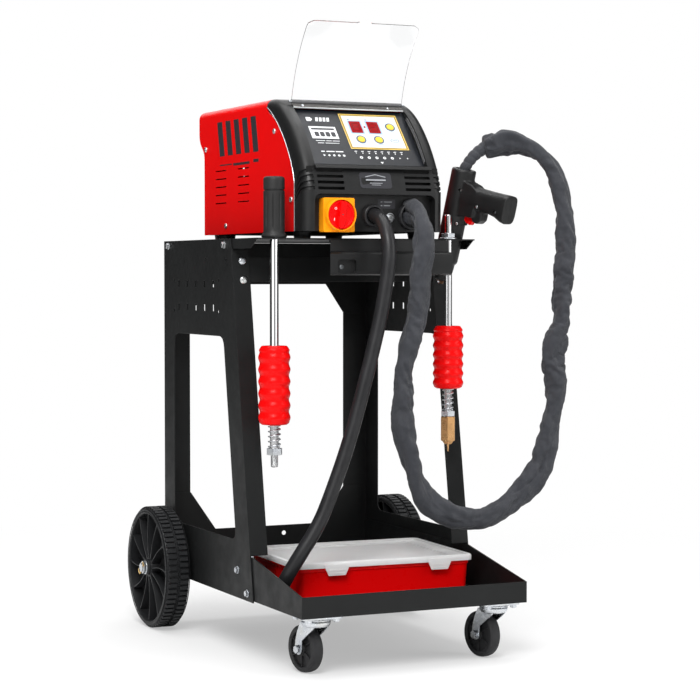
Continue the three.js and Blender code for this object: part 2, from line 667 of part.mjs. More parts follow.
// The raised visor: a curved clear sheet that wraps round its hinge rod.
function visor() {
  const hinge = new THREE.Vector2(...HINGE);
  const chord = new THREE.Vector2(...VISOR_EDGE).sub(hinge);
  const out = new THREE.Vector2(chord.y, -chord.x).normalize();
  const steps = 10;
  const front = [];
  const back = [];
  for (let i = 0; i <= steps; i += 1) {
    const t = i / steps;
    const middle = hinge.clone().addScaledVector(chord, t);
    middle.addScaledVector(out, 4 * VISOR_BULGE * t * (1 - t));
    front.push(middle.clone().addScaledVector(out, -VISOR_T / 2));
    back.push(middle.clone().addScaledVector(out, VISOR_T / 2));
  }
  const outline = [...front, ...back.reverse()].map((p) => [p.x, p.y]);
  const sheet = prism('YZ', outline, -VISOR_X, VISOR_X);
  const barrel = rod('x', HINGE, -VISOR_X, VISOR_X, 4.2, 18);
  const tab = box(-12, 12, VISOR_EDGE[0] - 5, VISOR_EDGE[0] + 2, VISOR_EDGE[1] - 2, VISOR_EDGE[1] + 2);
  return cut(join(sheet, barrel, tab), rod('x', HINGE, -VISOR_X - 1, VISOR_X + 1, 2.3, 14));
}

function switchPlate() {
  const [x, z] = SWITCH_XZ;
  const half = 26.5;
  const square = roundedShape(rectangle(z - half, z + half, x - half, x + half), 3);
  const front = RECESS_Y - 7;
  const plate = prism('ZX', square, front, RECESS_Y - GAP, 3);
  const collar = cut(
    rod('y', SWITCH_XZ, front - COLLAR_HEIGHT, front + 1, COLLAR_R, 32),
    rod('y', SWITCH_XZ, front - COLLAR_HEIGHT - 1, front, KNOB_R + 0.6, 32),
  );
  return cut(join(plate, collar), rod('y', SWITCH_XZ, RECESS_Y - 10, RECESS_Y + 5, 6.3, 16));
}

// Rotary knob about Y with a raised grip bar, in its own frame: the plate is at Y = 0.
function switchKnob() {
  const disc = rod('y', [0, 0], -KNOB_FRONT, -0.5, KNOB_R, 28);
  const barShape = roundedShape(rectangle(-KNOB_R + 1, KNOB_R - 1, -6, 6), 5);
  const bar = prism('ZX', barShape, -KNOB_FRONT - 7, -KNOB_FRONT + 1, 4);
  const stem = rod('y', [0, 0], -1, 14, 6, 16);
  return join(disc, bar, stem);
}

function rearPanel() {
  const half = CASE_X - CASE_SHEET - GAP;
  const y = CASE_REAR_Y - 6;
  const plate = box(-half, half, y - CASE_SHEET, y, CASE_BOTTOM_Z + 3, CASE_TOP_Z - 16);
  const slots = [];
  for (let i = 0; i < 9; i += 1) {
    const z = 738 + 10.5 * i;
    const reach = Math.sqrt(52 ** 2 - (z - 780) ** 2);
    slots.push(box(-reach, reach, y - 5, y + 5, z - 2.4, z + 2.4));
  }
  return cut(plate, ...slots, rod('y', CORD_OUT, y - 5, y + 5, 8.3, 18));
}

function basePlate() {
  const half = CASE_X - CASE_SHEET - GAP;
  const plate = box(-half, half, SEAM_Y + 1, CASE_REAR_Y - 6, CASE_BOTTOM_Z, CASE_BOTTOM_Z + 2);
  const studs = [];
  for (const y of FOOT_XY.slice(1)) {
    for (const x of [-FOOT_XY[0], FOOT_XY[0]]) {
      studs.push(rod('z', [x, y], CASE_BOTTOM_Z - 5, CASE_BOTTOM_Z + 5, 3.3, 12));
    }
  }
  return cut(plate, ...studs);
}

function foot() {
  const top = CASE_BOTTOM_Z - GAP;
  return turned([
    [0, SHELF_Z + GAP], [13, SHELF_Z + GAP], [15, top], [3, top], [3, top + 2.5], [0, top + 2.5],
  ], 12);
}

// A moulded cable bush about Y. The collar stands in the recess, the shank passes through its wall.
function cableBush(centre, shank, bore) {
  const body = join(
    rod('y', centre, RECESS_Y - 10, RECESS_Y - GAP, shank + 4, 18, shank + 4),
    rod('y', centre, RECESS_Y - 1, RECESS_Y + 7, shank, 18),
  );
  return cut(body, rod('y', centre, RECESS_Y - 12, RECESS_Y + 12, bore, 16));
}

const CORD_OUT = [-82, 700];
const CORE_Y = [320, 420];
const CORE_Z = [CASE_BOTTOM_Z + 2.3, 790];
const CORE_LEG = 26;

function transformerCore() {
  const [y0, y1] = CORE_Y;
  const [z0, z1] = CORE_Z;
  const block = box(-70, 70, y0, y1, z0, z1);
  const inner = 70 - CORE_LEG;
  const windowLeft = box(-inner, -CORE_LEG / 2 - 3, y0 - 5, y1 + 5, z0 + CORE_LEG, z1 - CORE_LEG);
  return cut(block, windowLeft, mirrorX(windowLeft));
}

function transformerWinding() {
  const [y0, y1] = CORE_Y;
  const [z0, z1] = CORE_Z;
  const low = z0 + CORE_LEG + 1;
  const high = z1 - CORE_LEG - 1;
  const reach = 70 - CORE_LEG - 1;
  const coil = prism('XY', roundedShape(rectangle(-reach, reach, y0 - 22, y1 + 22), 12), low, high, 4);
  const leg = CORE_LEG / 2 + 3 + GAP;
  return cut(coil, box(-leg, leg, y0 - GAP, y1 + GAP, low - 5, high + 5));
}

// Control board parallel to the panel, behind the push buttons, in the panel's frame.
function controlBoard() {
  return box(-80, 80, 30, 108, -PANEL_T - 14, -PANEL_T - 12);
}

const FAN_Y = 540;
const FAN_Z = 780;
const FAN_SIZE = 110;

function fanFrame() {
  const half = FAN_SIZE / 2;
  const square = roundedShape(rectangle(FAN_Z - half, FAN_Z + half, -half, half), 5);
  const ring = cut(prism('ZX', square, FAN_Y - 11, FAN_Y + 11, 3),
    rod('y', [0, FAN_Z], FAN_Y - 20, FAN_Y + 20, half - 3, 24));
  const strut = box(-half + 2, half - 2, FAN_Y + 8, FAN_Y + 11, FAN_Z - 4, FAN_Z + 4);
  const motor = rod('y', [0, FAN_Z], FAN_Y + 2, FAN_Y + 11, 16, 20);
  const pin = rod('y', [0, FAN_Z], FAN_Y - 6, FAN_Y + 3, 2.5, 14);
  return join(ring, strut, motor, pin);
}

// Fan rotor about Y in its own frame: hub cap and seven pitched blades.
function fanRotor() {
  const hub = cut(rod('y', [0, 0], -9, 1, 17, 20), rod('y', [0, 0], -7.5, 5, 2.8, 14));
  const blades = [];
  for (let i = 0; i < 7; i += 1) {
    const blade = box(14, FAN_SIZE / 2 - 6, -5.2, -3.6, -9, 9).rotate([28, 0, 0]).translate([0, -2.5, 0]);
    blades.push(blade.rotate([0, (360 * i) / 7, 0]));
  }
  const band = rod('y', [0, 0], -9, 1, FAN_SIZE / 2 - 5, 32);
  return join(hub, ...blades.map((blade) => blade.intersect(band)));
}

function addWelder(root) {
  root.add(toMesh('case_cover', caseCover(), redPaint()));
  root.add(toMesh('base_plate', basePlate(), powderCoat()));
  root.add(toMesh('rear_panel', rearPanel(), powderCoat()));
  root.add(toMesh('front_bezel', frontBezel(), blackPlastic()));
  root.add(toMesh('visor', visor(), clearPlastic()));
  root.add(toMesh('visor_hinge_rod', rod('x', HINGE, -VISOR_X - 5, VISOR_X + 5, 2, 12), zinc()));
  root.add(toMesh('switch_plate', switchPlate(), orangePlastic()));
  const knob = toMesh('switch_knob', switchKnob(), redPlastic());
  root.add(positioned(knob, SWITCH_XZ[0], RECESS_Y - 7, SWITCH_XZ[1]));

  const panel = new THREE.Group();
  panel.position.set(0, ...PANEL_LOW);
  panel.rotation.x = PANEL_SLOPE;
  panel.add(toMesh('control_panel', controlPanel(), panelFilm()));
  panel.add(toMesh('control_board', controlBoard(), finish(0x1f5c33, 0.6, 0)));
  BUTTONS.forEach(([x, y], i) => {
    panel.add(positioned(toMesh(`set_button_${i + 1}`, button(), finish(0xf0c419, 0.5, 0)), x, y, 0));
  });
  root.add(panel);

  const [x, front, back] = FOOT_XY;
  const feet = {
    front_left: [-x, front],
    front_right: [x, front],
    rear_left: [-x, back],
    rear_right: [x, back],
  };
  for (const [place, [fx, fy]] of Object.entries(feet)) {
    root.add(positioned(toMesh(`foot_${place}`, foot(), blackRubber()), fx, fy, 0));
  }
  root.add(toMesh('ground_cable_bush', cableBush(GROUND_OUT, 14, 12), blackPlastic()));
  root.add(toMesh('gun_cable_bush', cableBush(GUN_OUT, 18, 16.5), blackPlastic()));
  root.add(toMesh('transformer_core', transformerCore(), finish(0x55575a, 0.5, 0.7)));
  root.add(toMesh('transformer_winding', transformerWinding(), copper()));
  root.add(toMesh('fan_frame', fanFrame(), blackPlastic()));
  root.add(positioned(toMesh('fan_rotor', fanRotor(), blackPlastic()), 0, FAN_Y, FAN_Z));
}

// ---------------------------------------------------------------- cables

const GROUND_R = 11;
const SLEEVE_R = 15.5;
const NECK_R = 9;
const CORD_R = 5;

const GROUND_PATH = [
  [1.8, 215, 689.5], [1.8, 175, 689.5], [1.8, 150, 689.5], [1.9, 122, 677], [2, 104, 650], [1, 99, 620],
  [-3, 99, 590], [-13, 99, 536], [-38, 99, 440], [-67, 99, 343], [-93, 98, 275], [-118, 97, 220], [-148, 98, 174],
  [-168, 106, 139], [-174, 128, 112], [-174, 165, 106], [-174, 260, 106], [-172, 370, 106],
  [-140, 430, 106],
];

const SLEEVE_PATH = [
  [68, 210, 689.5], [68, 175, 689.5], [68, 150, 689.5], [66, 122, 680], [60, 99, 650], [53, 96, 610],
  [51, 96, 572], [46, 96, 530], [37, 96, 493], [30, 96, 451], [28, 96, 415], [28, 96, 376], [35, 96, 331],
  [46, 96, 296], [58, 96, 263], [84, 96, 237], [125, 96, 221], [163, 97, 218], [192, 99, 228],
  [229, 103, 250],
  [259, 106, 276], [277, 109, 300], [288, 112, 336], [299, 115, 377], [311, 120, 464], [324, 126, 556],
  [329, 129, 604], [332, 133, 653], [331, 138, 702], [325, 143, 738], [315, 149, 767], [297, 156, 788],
  [271, 164, 802], [240, 173, 809], [216, 181, 803],
];

const NECK_PATH = [
  [222, 179, 806], [214, 182, 802.5], [203, 187, 794], [194, 190, 782], [188.5, 191.6, 772],
];

const CORD_PATH = [[-82, 545, 700], [-82, 575, 700], [-82, 603, 696], [-78, 622, 672], [-70, 628, 636]];

const CLAMP_CENTRE = [-118, 455];

function groundCable() {
  return cord(GROUND_PATH, GROUND_R, 8, 34);
}

// The sleeve and the corrugated neck that joins it to the gun.
function gunCable() {
  return join(cord(SLEEVE_PATH, SLEEVE_R, 8, 46), cord(NECK_PATH, NECK_R, 8, 6));
}

// Screw clamp on the end of the earth cable, lying in the tray: a C-frame with its screw.
function earthClamp() {
  const [x, y] = CLAMP_CENTRE;
  const low = TRAY_Z + SHEET + GAP;
  const frame = cut(
    box(x - 10, x + 70, y - 5, y + 45, low, low + 18),
    box(x + 10, x + 55, y + 12, y + 60, low - 5, low + 30),
  );
  const screw = rod('x', [y + 33, low + 9], x - 35, x + 35, 4.5, 14);
  const bar = rod('y', [x - 30, low + 9], y + 14, y + 52, 3, 10);
  return cut(join(frame, screw, bar), cord(GROUND_PATH, GROUND_R + GAP, 8, 34));
}

function addCables(root) {
  root.add(toMesh('ground_cable', groundCable(), blackRubber()));
  root.add(toMesh('gun_cable', gunCable(), greyFabric()));
  root.add(toMesh('mains_cord', cord(CORD_PATH, CORD_R, 8, 12), blackRubber()));
  root.add(toMesh('earth_clamp', earthClamp(), copper()));
}

// ---------------------------------------------------------------- gun

// The gun in its own frame: the barrel axis is Z, the shelf is at Z = 0, the handle points to -Y.
const GUN_TOP = 117;
const GUN_BOTTOM = -38;
const HANDLE_END = -105;
const TRIGGER_PIVOT = [-27, 51]; // Y, Z

function gunBody() {
  const barrel = turned([
    [0, GUN_BOTTOM], [GUN_R - 2, GUN_BOTTOM], [GUN_R, GUN_BOTTOM + 3],
    [GUN_R + 0.8, GUN_TOP - 2], [GUN_R - 1.5, GUN_TOP], [0, GUN_TOP],
  ], 20);
  const collar = rod('z', [0, 0], -58, GUN_BOTTOM + 1, 15, 16);
  const nose = rod('z', [0, 0], -68, -57, 12, 16);
  const block = prism('YZ', roundedShape([
    [0, 42], [0, 102], [-34, 95], [-44, 88], [-44, 48],
  ], 5), -14, 14, 3);
  const handle = prism('YZ', roundedShape([
    [-10, 94], [-50, 94.5], [HANDLE_END, 95], [HANDLE_END - 3, 70],
    [HANDLE_END + 3, 51], [-90, 50], [-78, 57], [-30, 52],
  ], 5), -16, 16, 3);
  const guard = prism('YZ', roundedShape([
    [-36, 56], [-60, 56], [-58, 44], [-50, 37], [-40, 40],
  ], 4), -9, 9, 3);
  return join(barrel, collar, nose, block, handle, guard);
}

function gunShell() {
  const bore = rod('z', [0, 0], -70, GUN_TOP + 1, 9.6, 12);
  const slotForTrigger = prism('YZ', [[-18, 28], [-18, 60], [-45, 60], [-45, 28]], -5.5, 5.5);
  const pivotHole = rod('x', TRIGGER_PIVOT, -12, 12, 2.4, 12);
  return cut(gunBody(), bore, slotForTrigger, pivotHole);
}

// Trigger with its pivot pin. The finger pad hangs below the block.
function gunTrigger() {
  const pad = prism('YZ', roundedShape([
    [-23, 57], [-38, 57], [-39, 38], [-36, 32], [-24, 36],
  ], 3), -5, 5, 3);
  return join(pad, rod('x', TRIGGER_PIVOT, -9, 9, 2, 12));
}

function gunElectrode() {
  return turned([[0, -74], [3.5, -73], [4, -70], [8.8, -69], [9.2, -60], [9.2, -20], [0, -20]], 18);
}

function addGun(root) {
  const gun = new THREE.Group();
  gun.position.set(GUN_XY[0], GUN_XY[1], SHELF_Z);
  gun.rotation.set(THREE.MathUtils.degToRad(GUN_LEAN), 0, THREE.MathUtils.degToRad(GUN_YAW), 'ZXY');
  const shell = gunShell();
  const left = shell.intersect(box(-60, -GAP / 2, -150, 60, -100, 150));
  const right = shell.intersect(box(GAP / 2, 60, -150, 60, -100, 150));
  gun.add(toMesh('gun_shell_left', left, blackPlastic()));
  gun.add(toMesh('gun_shell_right', right, blackPlastic()));
  gun.add(toMesh('gun_trigger', gunTrigger(), redPlastic()));
  gun.add(toMesh('gun_electrode', gunElectrode(), copper()));
  root.add(gun);
}

// ---------------------------------------------------------------- slide hammers

// A hammer stands in its own frame: the rod is the Z axis at the height of the whole object.
function slidingWeight(bottom, top, radius, bore) {
  const waves = 6;
  const neck = 8;
  const pitch = (top - neck - bottom) / waves;
  const profile = [[0, bottom], [radius - 6, bottom]];
  for (let i = 0; i < waves; i += 1) {
    const base = bottom + pitch * i;
    profile.push([radius, base + pitch / 2], [radius - 3.5, base + pitch]);
  }
  profile.push([radius - 5, top - 1], [0, top]);
  return cut(turned(profile, 16), rod('z', [0, 0], bottom - 5, top + 5, bore, 12));
}

function stopSpring(bottom, top, radius, wire, turns) {
  const path = new THREE.Curve();
  const height = top - bottom - 2 * wire;
  path.getPoint = (t, target = new THREE.Vector3()) => {
    const angle = 2 * Math.PI * turns * t;
    return target.set(radius * Math.cos(angle), radius * Math.sin(angle), bottom + wire + height * t);
  };
  return cordAlong(path, wire, 4, turns * 9);
}

function hexNut(bottom, top, acrossCorners, bore) {
  const nut = rod('z', [0, 0], bottom, top, acrossCorners / 2, 6);
  return bore ? cut(nut, rod('z', [0, 0], bottom - 1, top + 1, bore, 16)) : nut;
}

// Heights of their parts, from the bottom up.
const LEFT = {
  stub: 298,
  nut: 317.4,
  spring: 328.1,
  weight: 364.5,
  weightTop: 487.2,
  weightR: 25.2,
  gripTop: 749,
};
const RIGHT = {
  tip: 311.7,
  chuck: 324,
  nut: 369.2,
  spring: 378.2,
  weight: 414.3,
  weightTop: 515,
  weightR: 24.7,
  top: 693,
};

function leftHammerRod() {
  return join(
    rod('z', [0, 0], LEFT.stub, LEFT.nut + 1, LEFT_ROD_R - 0.6, 16),
    hexNut(LEFT.nut, LEFT.spring - GAP, 26, 0),
    rod('z', [0, 0], LEFT.nut, LEFT.gripTop - 12, LEFT_ROD_R, 20),
  );
}

function leftHammerGrip() {
  const base = SHELF_Z + GAP;
  const r = 16.7;
  const outer = turned([
    [0, base], [19.8, base], [19.8, base + 4], [r, base + 9], [r, base + 72], [r - 1.5, base + 74],
    [r, base + 76], [r, LEFT.gripTop - 3], [r - 3, LEFT.gripTop], [0, LEFT.gripTop],
  ], 18);
  return cut(outer, rod('z', [0, 0], base - 1, LEFT.gripTop - 11, LEFT_ROD_R + GAP, 20));
}

function rightHammerRod() {
  const seat = SHELF_Z + GAP;
  return join(
    rod('z', [0, 0], RIGHT.chuck + 20, seat + 2, RIGHT_ROD_R, 20),
    hexNut(RIGHT.nut, RIGHT.spring - GAP, 24.5, 0),
    hexNut(seat + 2, seat + 9, 24, 0),
    rod('z', [0, 0], seat, seat + 2.5, 14, 20),
    rod('z', [0, 0], seat + 8, RIGHT.top, RIGHT_ROD_R - 0.6, 16),
  );
}

function rightHammerChuck() {
  const top = RIGHT.nut - GAP;
  const body = join(
    hexNut(RIGHT.chuck + 6, top, 25.6, 0),
    rod('z', [0, 0], RIGHT.chuck, RIGHT.chuck + 7, 6, 6, 12.8),
    rod('z', [0, 0], RIGHT.tip, RIGHT.chuck + 1, 0.9, 10, 2),
  );
  return cut(body, rod('z', [0, 0], RIGHT.chuck + 19, top + 1, RIGHT_ROD_R + GAP, 20));
}

function addHammers(root) {
  const left = positioned(new THREE.Group(), ...LEFT_ROD, 0);
  left.add(toMesh('left_hammer_rod', leftHammerRod(), chrome()));
  left.add(toMesh('left_hammer_grip', leftHammerGrip(), blackRubber()));
  const leftWeight = slidingWeight(LEFT.weight, LEFT.weightTop, LEFT.weightR, LEFT_ROD_R + 0.4);
  left.add(toMesh('left_hammer_weight', leftWeight, redPlastic()));
  const leftSpring = stopSpring(LEFT.spring, LEFT.weight - GAP, 8.9, 1.1, 5);
  left.add(toMesh('left_hammer_spring', leftSpring, zinc()));
  root.add(left);

  const right = positioned(new THREE.Group(), ...RIGHT_ROD, 0);
  right.add(toMesh('right_hammer_rod', rightHammerRod(), chrome()));
  right.add(toMesh('right_hammer_chuck', rightHammerChuck(), copper()));
  const rightWeight = slidingWeight(RIGHT.weight, RIGHT.weightTop, RIGHT.weightR, RIGHT_ROD_R + 0.4);
  right.add(toMesh('right_hammer_weight', rightWeight, redPlastic()));
  const rightSpring = stopSpring(RIGHT.spring, RIGHT.weight - GAP, 8.1, 1.1, 5);
  right.add(toMesh('right_hammer_spring', rightSpring, zinc()));
  root.add(right);
}

// ---------------------------------------------------------------- box of consumables

function tub(width, depth, floor, rim, wall, radius) {
  const outline = (inset) => roundedShape(
    rectangle(-width / 2 + inset, width / 2 - inset, -depth / 2 + inset, depth / 2 - inset),
    radius - inset,
  );
  const outer = prism('XY', outline(0), floor, rim, 4);
  return cut(outer, prism('XY', outline(wall), floor + wall, rim + 5, 4));
}

function toolboxBase() {
  const [width, depth] = BOX_SIZE;
  const inset = 5;
  const body = tub(width - 2 * inset, depth - 2 * inset, BOX_FLOOR_Z, BOX_RIM_Z, 2, 10);
  const middle = box(-1, 1, -depth / 2 + inset + 1, depth / 2 - inset - 1, BOX_FLOOR_Z + 1, BOX_RIM_Z - 8);
  const across = box(-width / 2 + inset + 1, width / 2 - inset - 1, -1, 1, BOX_FLOOR_Z + 1, BOX_RIM_Z - 8);
  return join(body, middle, across);
}

// Lid with a raised rim and two snap latches that hang over the front of the base.
function toolboxLid() {
  const [width, depth] = BOX_SIZE;
  const low = BOX_RIM_Z + GAP;
  const plate = prism('XY', roundedShape(
    rectangle(-width / 2, width / 2, -depth / 2, depth / 2), 12,
  ), low, BOX_LID_Z, 4);
  const dish = prism('XY', roundedShape(
    rectangle(-width / 2 + 9, width / 2 - 9, -depth / 2 + 9, depth / 2 - 9), 8,
  ), BOX_LID_Z - 3, BOX_LID_Z + 3, 4);
  const under = prism('XY', roundedShape(
    rectangle(-width / 2 + 4, width / 2 - 4, -depth / 2 + 4, depth / 2 - 4), 8,
  ), low - 3, low + 4, 4);
  const latchX = [-84, 90];
  const front = -depth / 2;
  const latches = latchX.map((x) => box(x - 21, x + 21, front - 3.5, front - 0.5,
    BOX_RIM_Z - 12, BOX_LID_Z - 2));
  const arms = latchX.map((x) => box(x - 21, x + 21, front - 1, front + 2, BOX_RIM_Z + 2, BOX_LID_Z - 2));
  return join(cut(plate, dish, under), ...latches, ...arms);
}

function addToolbox(root) {
  const group = new THREE.Group();
  group.position.set(BOX_CENTRE[0], BOX_CENTRE[1], 0);
  group.rotation.z = THREE.MathUtils.degToRad(BOX_YAW);
  group.add(toMesh('toolbox_base', toolboxBase(), redPlastic()));
  group.add(toMesh('toolbox_lid', toolboxLid(), clearPlastic()));
  root.add(group);
}

// ---------------------------------------------------------------- assembly

const spotWelder = new THREE.Group();
addTrolley(spotWelder);
addCaster(spotWelder, 'left', -1);
addCaster(spotWelder, 'right', 1);
addWelder(spotWelder);
addCables(spotWelder);
addGun(spotWelder);
addHammers(spotWelder);
addToolbox(spotWelder);

// The origin is on the floor, in the middle of the footprint.
spotWelder.updateMatrixWorld(true);
const bounds = new THREE.Box3().setFromObject(spotWelder);
const middle = bounds.getCenter(new THREE.Vector3());
spotWelder.position.set(-middle.x, -middle.y, -bounds.min.z);

export default spotWelder;
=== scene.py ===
"""Looks of the spot welder on its trolley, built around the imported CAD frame.

Mesh code works in millimetres in the trolley's own frame: X = 0 is the middle of the tray, Y = 0 is its front
lip, Z = 0 is the floor. MM and ORIGIN turn that into metres in the frame of the row. A shape is a pair of
vertices and faces. A piece is a Blender object that rides on a CAD body.
"""

import json
import math
import random

import bmesh
import bpy
import numpy as np
from mathutils import Matrix, Vector, noise


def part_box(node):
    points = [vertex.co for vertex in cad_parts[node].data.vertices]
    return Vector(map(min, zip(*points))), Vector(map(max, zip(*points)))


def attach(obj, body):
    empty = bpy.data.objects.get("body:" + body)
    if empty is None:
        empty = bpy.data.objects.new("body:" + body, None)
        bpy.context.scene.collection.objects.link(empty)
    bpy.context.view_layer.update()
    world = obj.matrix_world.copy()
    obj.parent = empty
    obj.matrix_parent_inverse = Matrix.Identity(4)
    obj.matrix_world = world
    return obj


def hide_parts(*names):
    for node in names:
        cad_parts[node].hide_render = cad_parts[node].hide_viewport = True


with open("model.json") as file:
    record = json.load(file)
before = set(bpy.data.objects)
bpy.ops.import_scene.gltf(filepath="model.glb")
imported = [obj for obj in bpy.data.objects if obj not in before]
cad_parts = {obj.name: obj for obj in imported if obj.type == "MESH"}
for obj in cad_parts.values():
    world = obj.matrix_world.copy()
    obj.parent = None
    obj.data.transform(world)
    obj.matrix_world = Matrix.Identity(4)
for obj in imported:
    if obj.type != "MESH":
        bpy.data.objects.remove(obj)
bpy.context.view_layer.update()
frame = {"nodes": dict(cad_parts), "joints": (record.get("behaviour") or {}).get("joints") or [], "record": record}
NODES = frame["nodes"]
JOINTS = {joint["name"]: joint for joint in frame["joints"]}
BODY_OF = {node: body for body, nodes in frame["record"]["behaviour"]["bodies"].items() for node in nodes}
SLOT_OF = {part["node"]: part["material_slot"] for part in frame["record"]["subparts"]}

MM = 0.001
TRAY_LOW, TRAY_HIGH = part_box("storage_tray")
ORIGIN = np.array([(TRAY_LOW.x + TRAY_HIGH.x) / 2, TRAY_LOW.y, 0.0])


def cad_box(node):
    """Lowest and highest corner of a CAD node, in trolley millimetres."""
    low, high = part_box(node)
    return (np.array(low) - ORIGIN) / MM, (np.array(high) - ORIGIN) / MM


def cad_middle(node):
    low, high = cad_box(node)
    return (low + high) / 2


# ------------------------------------------------------------------ shapes


def joined(*shapes):
    """One shape from several."""
    verts, faces, start = [], [], 0
    for shape_verts, shape_faces in shapes:
        verts.append(np.asarray(shape_verts, float).reshape(-1, 3))
        faces += [[start + i for i in face] for face in shape_faces]
        start += len(verts[-1])
    return np.vstack(verts), faces


def placed(shape, matrix):
    verts, faces = shape
    rotation, shift = np.array(matrix.to_3x3()), np.array(matrix.translation)
    return np.asarray(verts, float) @ rotation.T + shift, faces


def shifted(shape, x=0.0, y=0.0, z=0.0):
    return placed(shape, Matrix.Translation((x, y, z)))


def rotated(shape, degrees, axis):
    return placed(shape, Matrix.Rotation(math.radians(degrees), 4, axis))


AXIS_TO = {
    "x": Matrix(((0, 0, 1, 0), (0, 1, 0, 0), (-1, 0, 0, 0), (0, 0, 0, 1))),
    "-x": Matrix(((0, 0, -1, 0), (0, 1, 0, 0), (1, 0, 0, 0), (0, 0, 0, 1))),
    "y": Matrix(((1, 0, 0, 0), (0, 0, 1, 0), (0, -1, 0, 0), (0, 0, 0, 1))),
    "-y": Matrix(((1, 0, 0, 0), (0, 0, -1, 0), (0, 1, 0, 0), (0, 0, 0, 1))),
}


def facing(shape, direction, place):
    """The shape, drawn along +Z, turned to face a direction and moved to a place."""
    return placed(shape, Matrix.Translation(tuple(place)) @ AXIS_TO[direction])


def circle(radius, sides=32, x=0.0, y=0.0):
    angles = [2 * math.pi * k / sides for k in range(sides)]
    return [(x + radius * math.cos(a), y + radius * math.sin(a)) for a in angles]


def rectangle(width, height, x=0.0, y=0.0):
    x0, x1, y0, y1 = x - width / 2, x + width / 2, y - height / 2, y + height / 2
    return [(x0, y0), (x1, y0), (x1, y1), (x0, y1)]


def rounded_outline(corners, radius, steps=6):
    """Closed outline with each corner replaced by an arc of the given radius."""
    points = []
    count = len(corners)
    for i in range(count):
        corner = np.array(corners[i], float)
        before = np.array(corners[i - 1], float) - corner
        after = np.array(corners[(i + 1) % count], float) - corner
        before_length, after_length = np.linalg.norm(before), np.linalg.norm(after)
        before, after = before / before_length, after / after_length
        half = math.acos(max(-1.0, min(1.0, float(before @ after)))) / 2
        reach = min(radius / math.tan(half), before_length * 0.49, after_length * 0.49)
        r = reach * math.tan(half)
        middle = corner + (before + after) / np.linalg.norm(before + after) * r / math.sin(half)
        start, end = corner + before * reach - middle, corner + after * reach - middle
        a0 = math.atan2(start[1], start[0])
        turn = (math.atan2(end[1], end[0]) - a0 + math.pi) % (2 * math.pi) - math.pi
        for k in range(steps + 1):
            a = a0 + turn * k / steps
            points.append((middle[0] + r * math.cos(a), middle[1] + r * math.sin(a)))
    return points


def lathe(profile, sides=48, wobble=None):
    """Solid of revolution about Z. The profile's (radius, height) points run from the axis back to the axis.
    wobble(angle, index) scales the radius, for flutes."""
    verts, faces, rings = [], [], []
    for index, (radius, height) in enumerate(profile):
        if radius < 1e-6:
            rings.append([len(verts)])
            verts.append((0, 0, height))
            continue
        rings.append(list(range(len(verts), len(verts) + sides)))
        for k in range(sides):
            angle = 2 * math.pi * k / sides
            r = radius * (wobble(angle, index) if wobble else 1)
            verts.append((r * math.cos(angle), r * math.sin(angle), height))
    for a, b in zip(rings, rings[1:]):
        for k in range(sides):
            k2 = (k + 1) % sides
            if len(a) == 1 and len(b) > 1:
                faces.append([a[0], b[k2], b[k]])
            elif len(b) == 1 and len(a) > 1:
                faces.append([a[k], a[k2], b[0]])
            elif len(a) > 1:
                faces.append([a[k], a[k2], b[k2], b[k]])
    return verts, faces


def turned(profile, sides=48):
    """Solid of revolution whose two ends are closed flat to the axis."""
    return lathe([(0, profile[0][1]), *profile, (0, profile[-1][1])], sides)


def disc(radius, low, high, sides=48):
    return turned([(radius, low), (radius, high)], sides)


def ring_lathe(profile, sides=48):
    """Solid ring about Z from a closed (radius, height) profile that stays off the axis."""
    count = len(profile)
    verts, faces = [], []
    for k in range(sides):
        angle = 2 * math.pi * k / sides
        verts += [(r * math.cos(angle), r * math.sin(angle), z) for r, z in profile]
    for k in range(sides):
        a, b = k * count, (k + 1) % sides * count
        faces += [[a + i, b + i, b + (i + 1) % count, a + (i + 1) % count] for i in range(count)]
    return verts, faces


def ring(inner, outer, low, high, sides=48):
    return ring_lathe([(inner, low), (outer, low), (outer, high), (inner, high)], sides)


def even_ring(profile, sides=48):
    """Solid ring that is the same above and below Z = 0, from the lower half of its profile."""
    return ring_lathe(profile + [(r, -z) for r, z in profile[::-1]], sides)


def extruded(outline, low, high):
    """Prism of a closed (X, Y) outline between two heights."""
    count = len(outline)
    verts = [(x, y, low) for x, y in outline] + [(x, y, high) for x, y in outline]
    faces = [list(range(count))[::-1], list(range(count, 2 * count))]
    faces += [[i, (i + 1) % count, count + (i + 1) % count, count + i] for i in range(count)]
    return verts, faces


def side_prism(outline, x0, x1):
    """Prism of a closed (Y, Z) outline between two X planes."""
    verts, faces = extruded(outline, x0, x1)
    return [(z, x, y) for x, y, z in verts], faces


def front_prism(outline, y0, y1):
    """Prism of a closed (X, Z) outline between two Y planes."""
    verts, faces = extruded(outline, y0, y1)
    return [(x, z, y) for x, y, z in verts], faces


def block(x0, x1, y0, y1, z0, z1):
    return extruded([(x0, y0), (x1, y0), (x1, y1), (x0, y1)], z0, z1)


def loft(sections):
    """Closed skin over sections of equal length, each a list of points, with flat ends."""
    count = len(sections[0])
    verts = [point for section in sections for point in section]
    faces = []
    for i in range(len(sections) - 1):
        for k in range(count):
            k2 = (k + 1) % count
            faces.append([i * count + k, i * count + k2, (i + 1) * count + k2, (i + 1) * count + k])
    faces += [list(range(count))[::-1], list(range((len(sections) - 1) * count, len(sections) * count))]
    return verts, faces


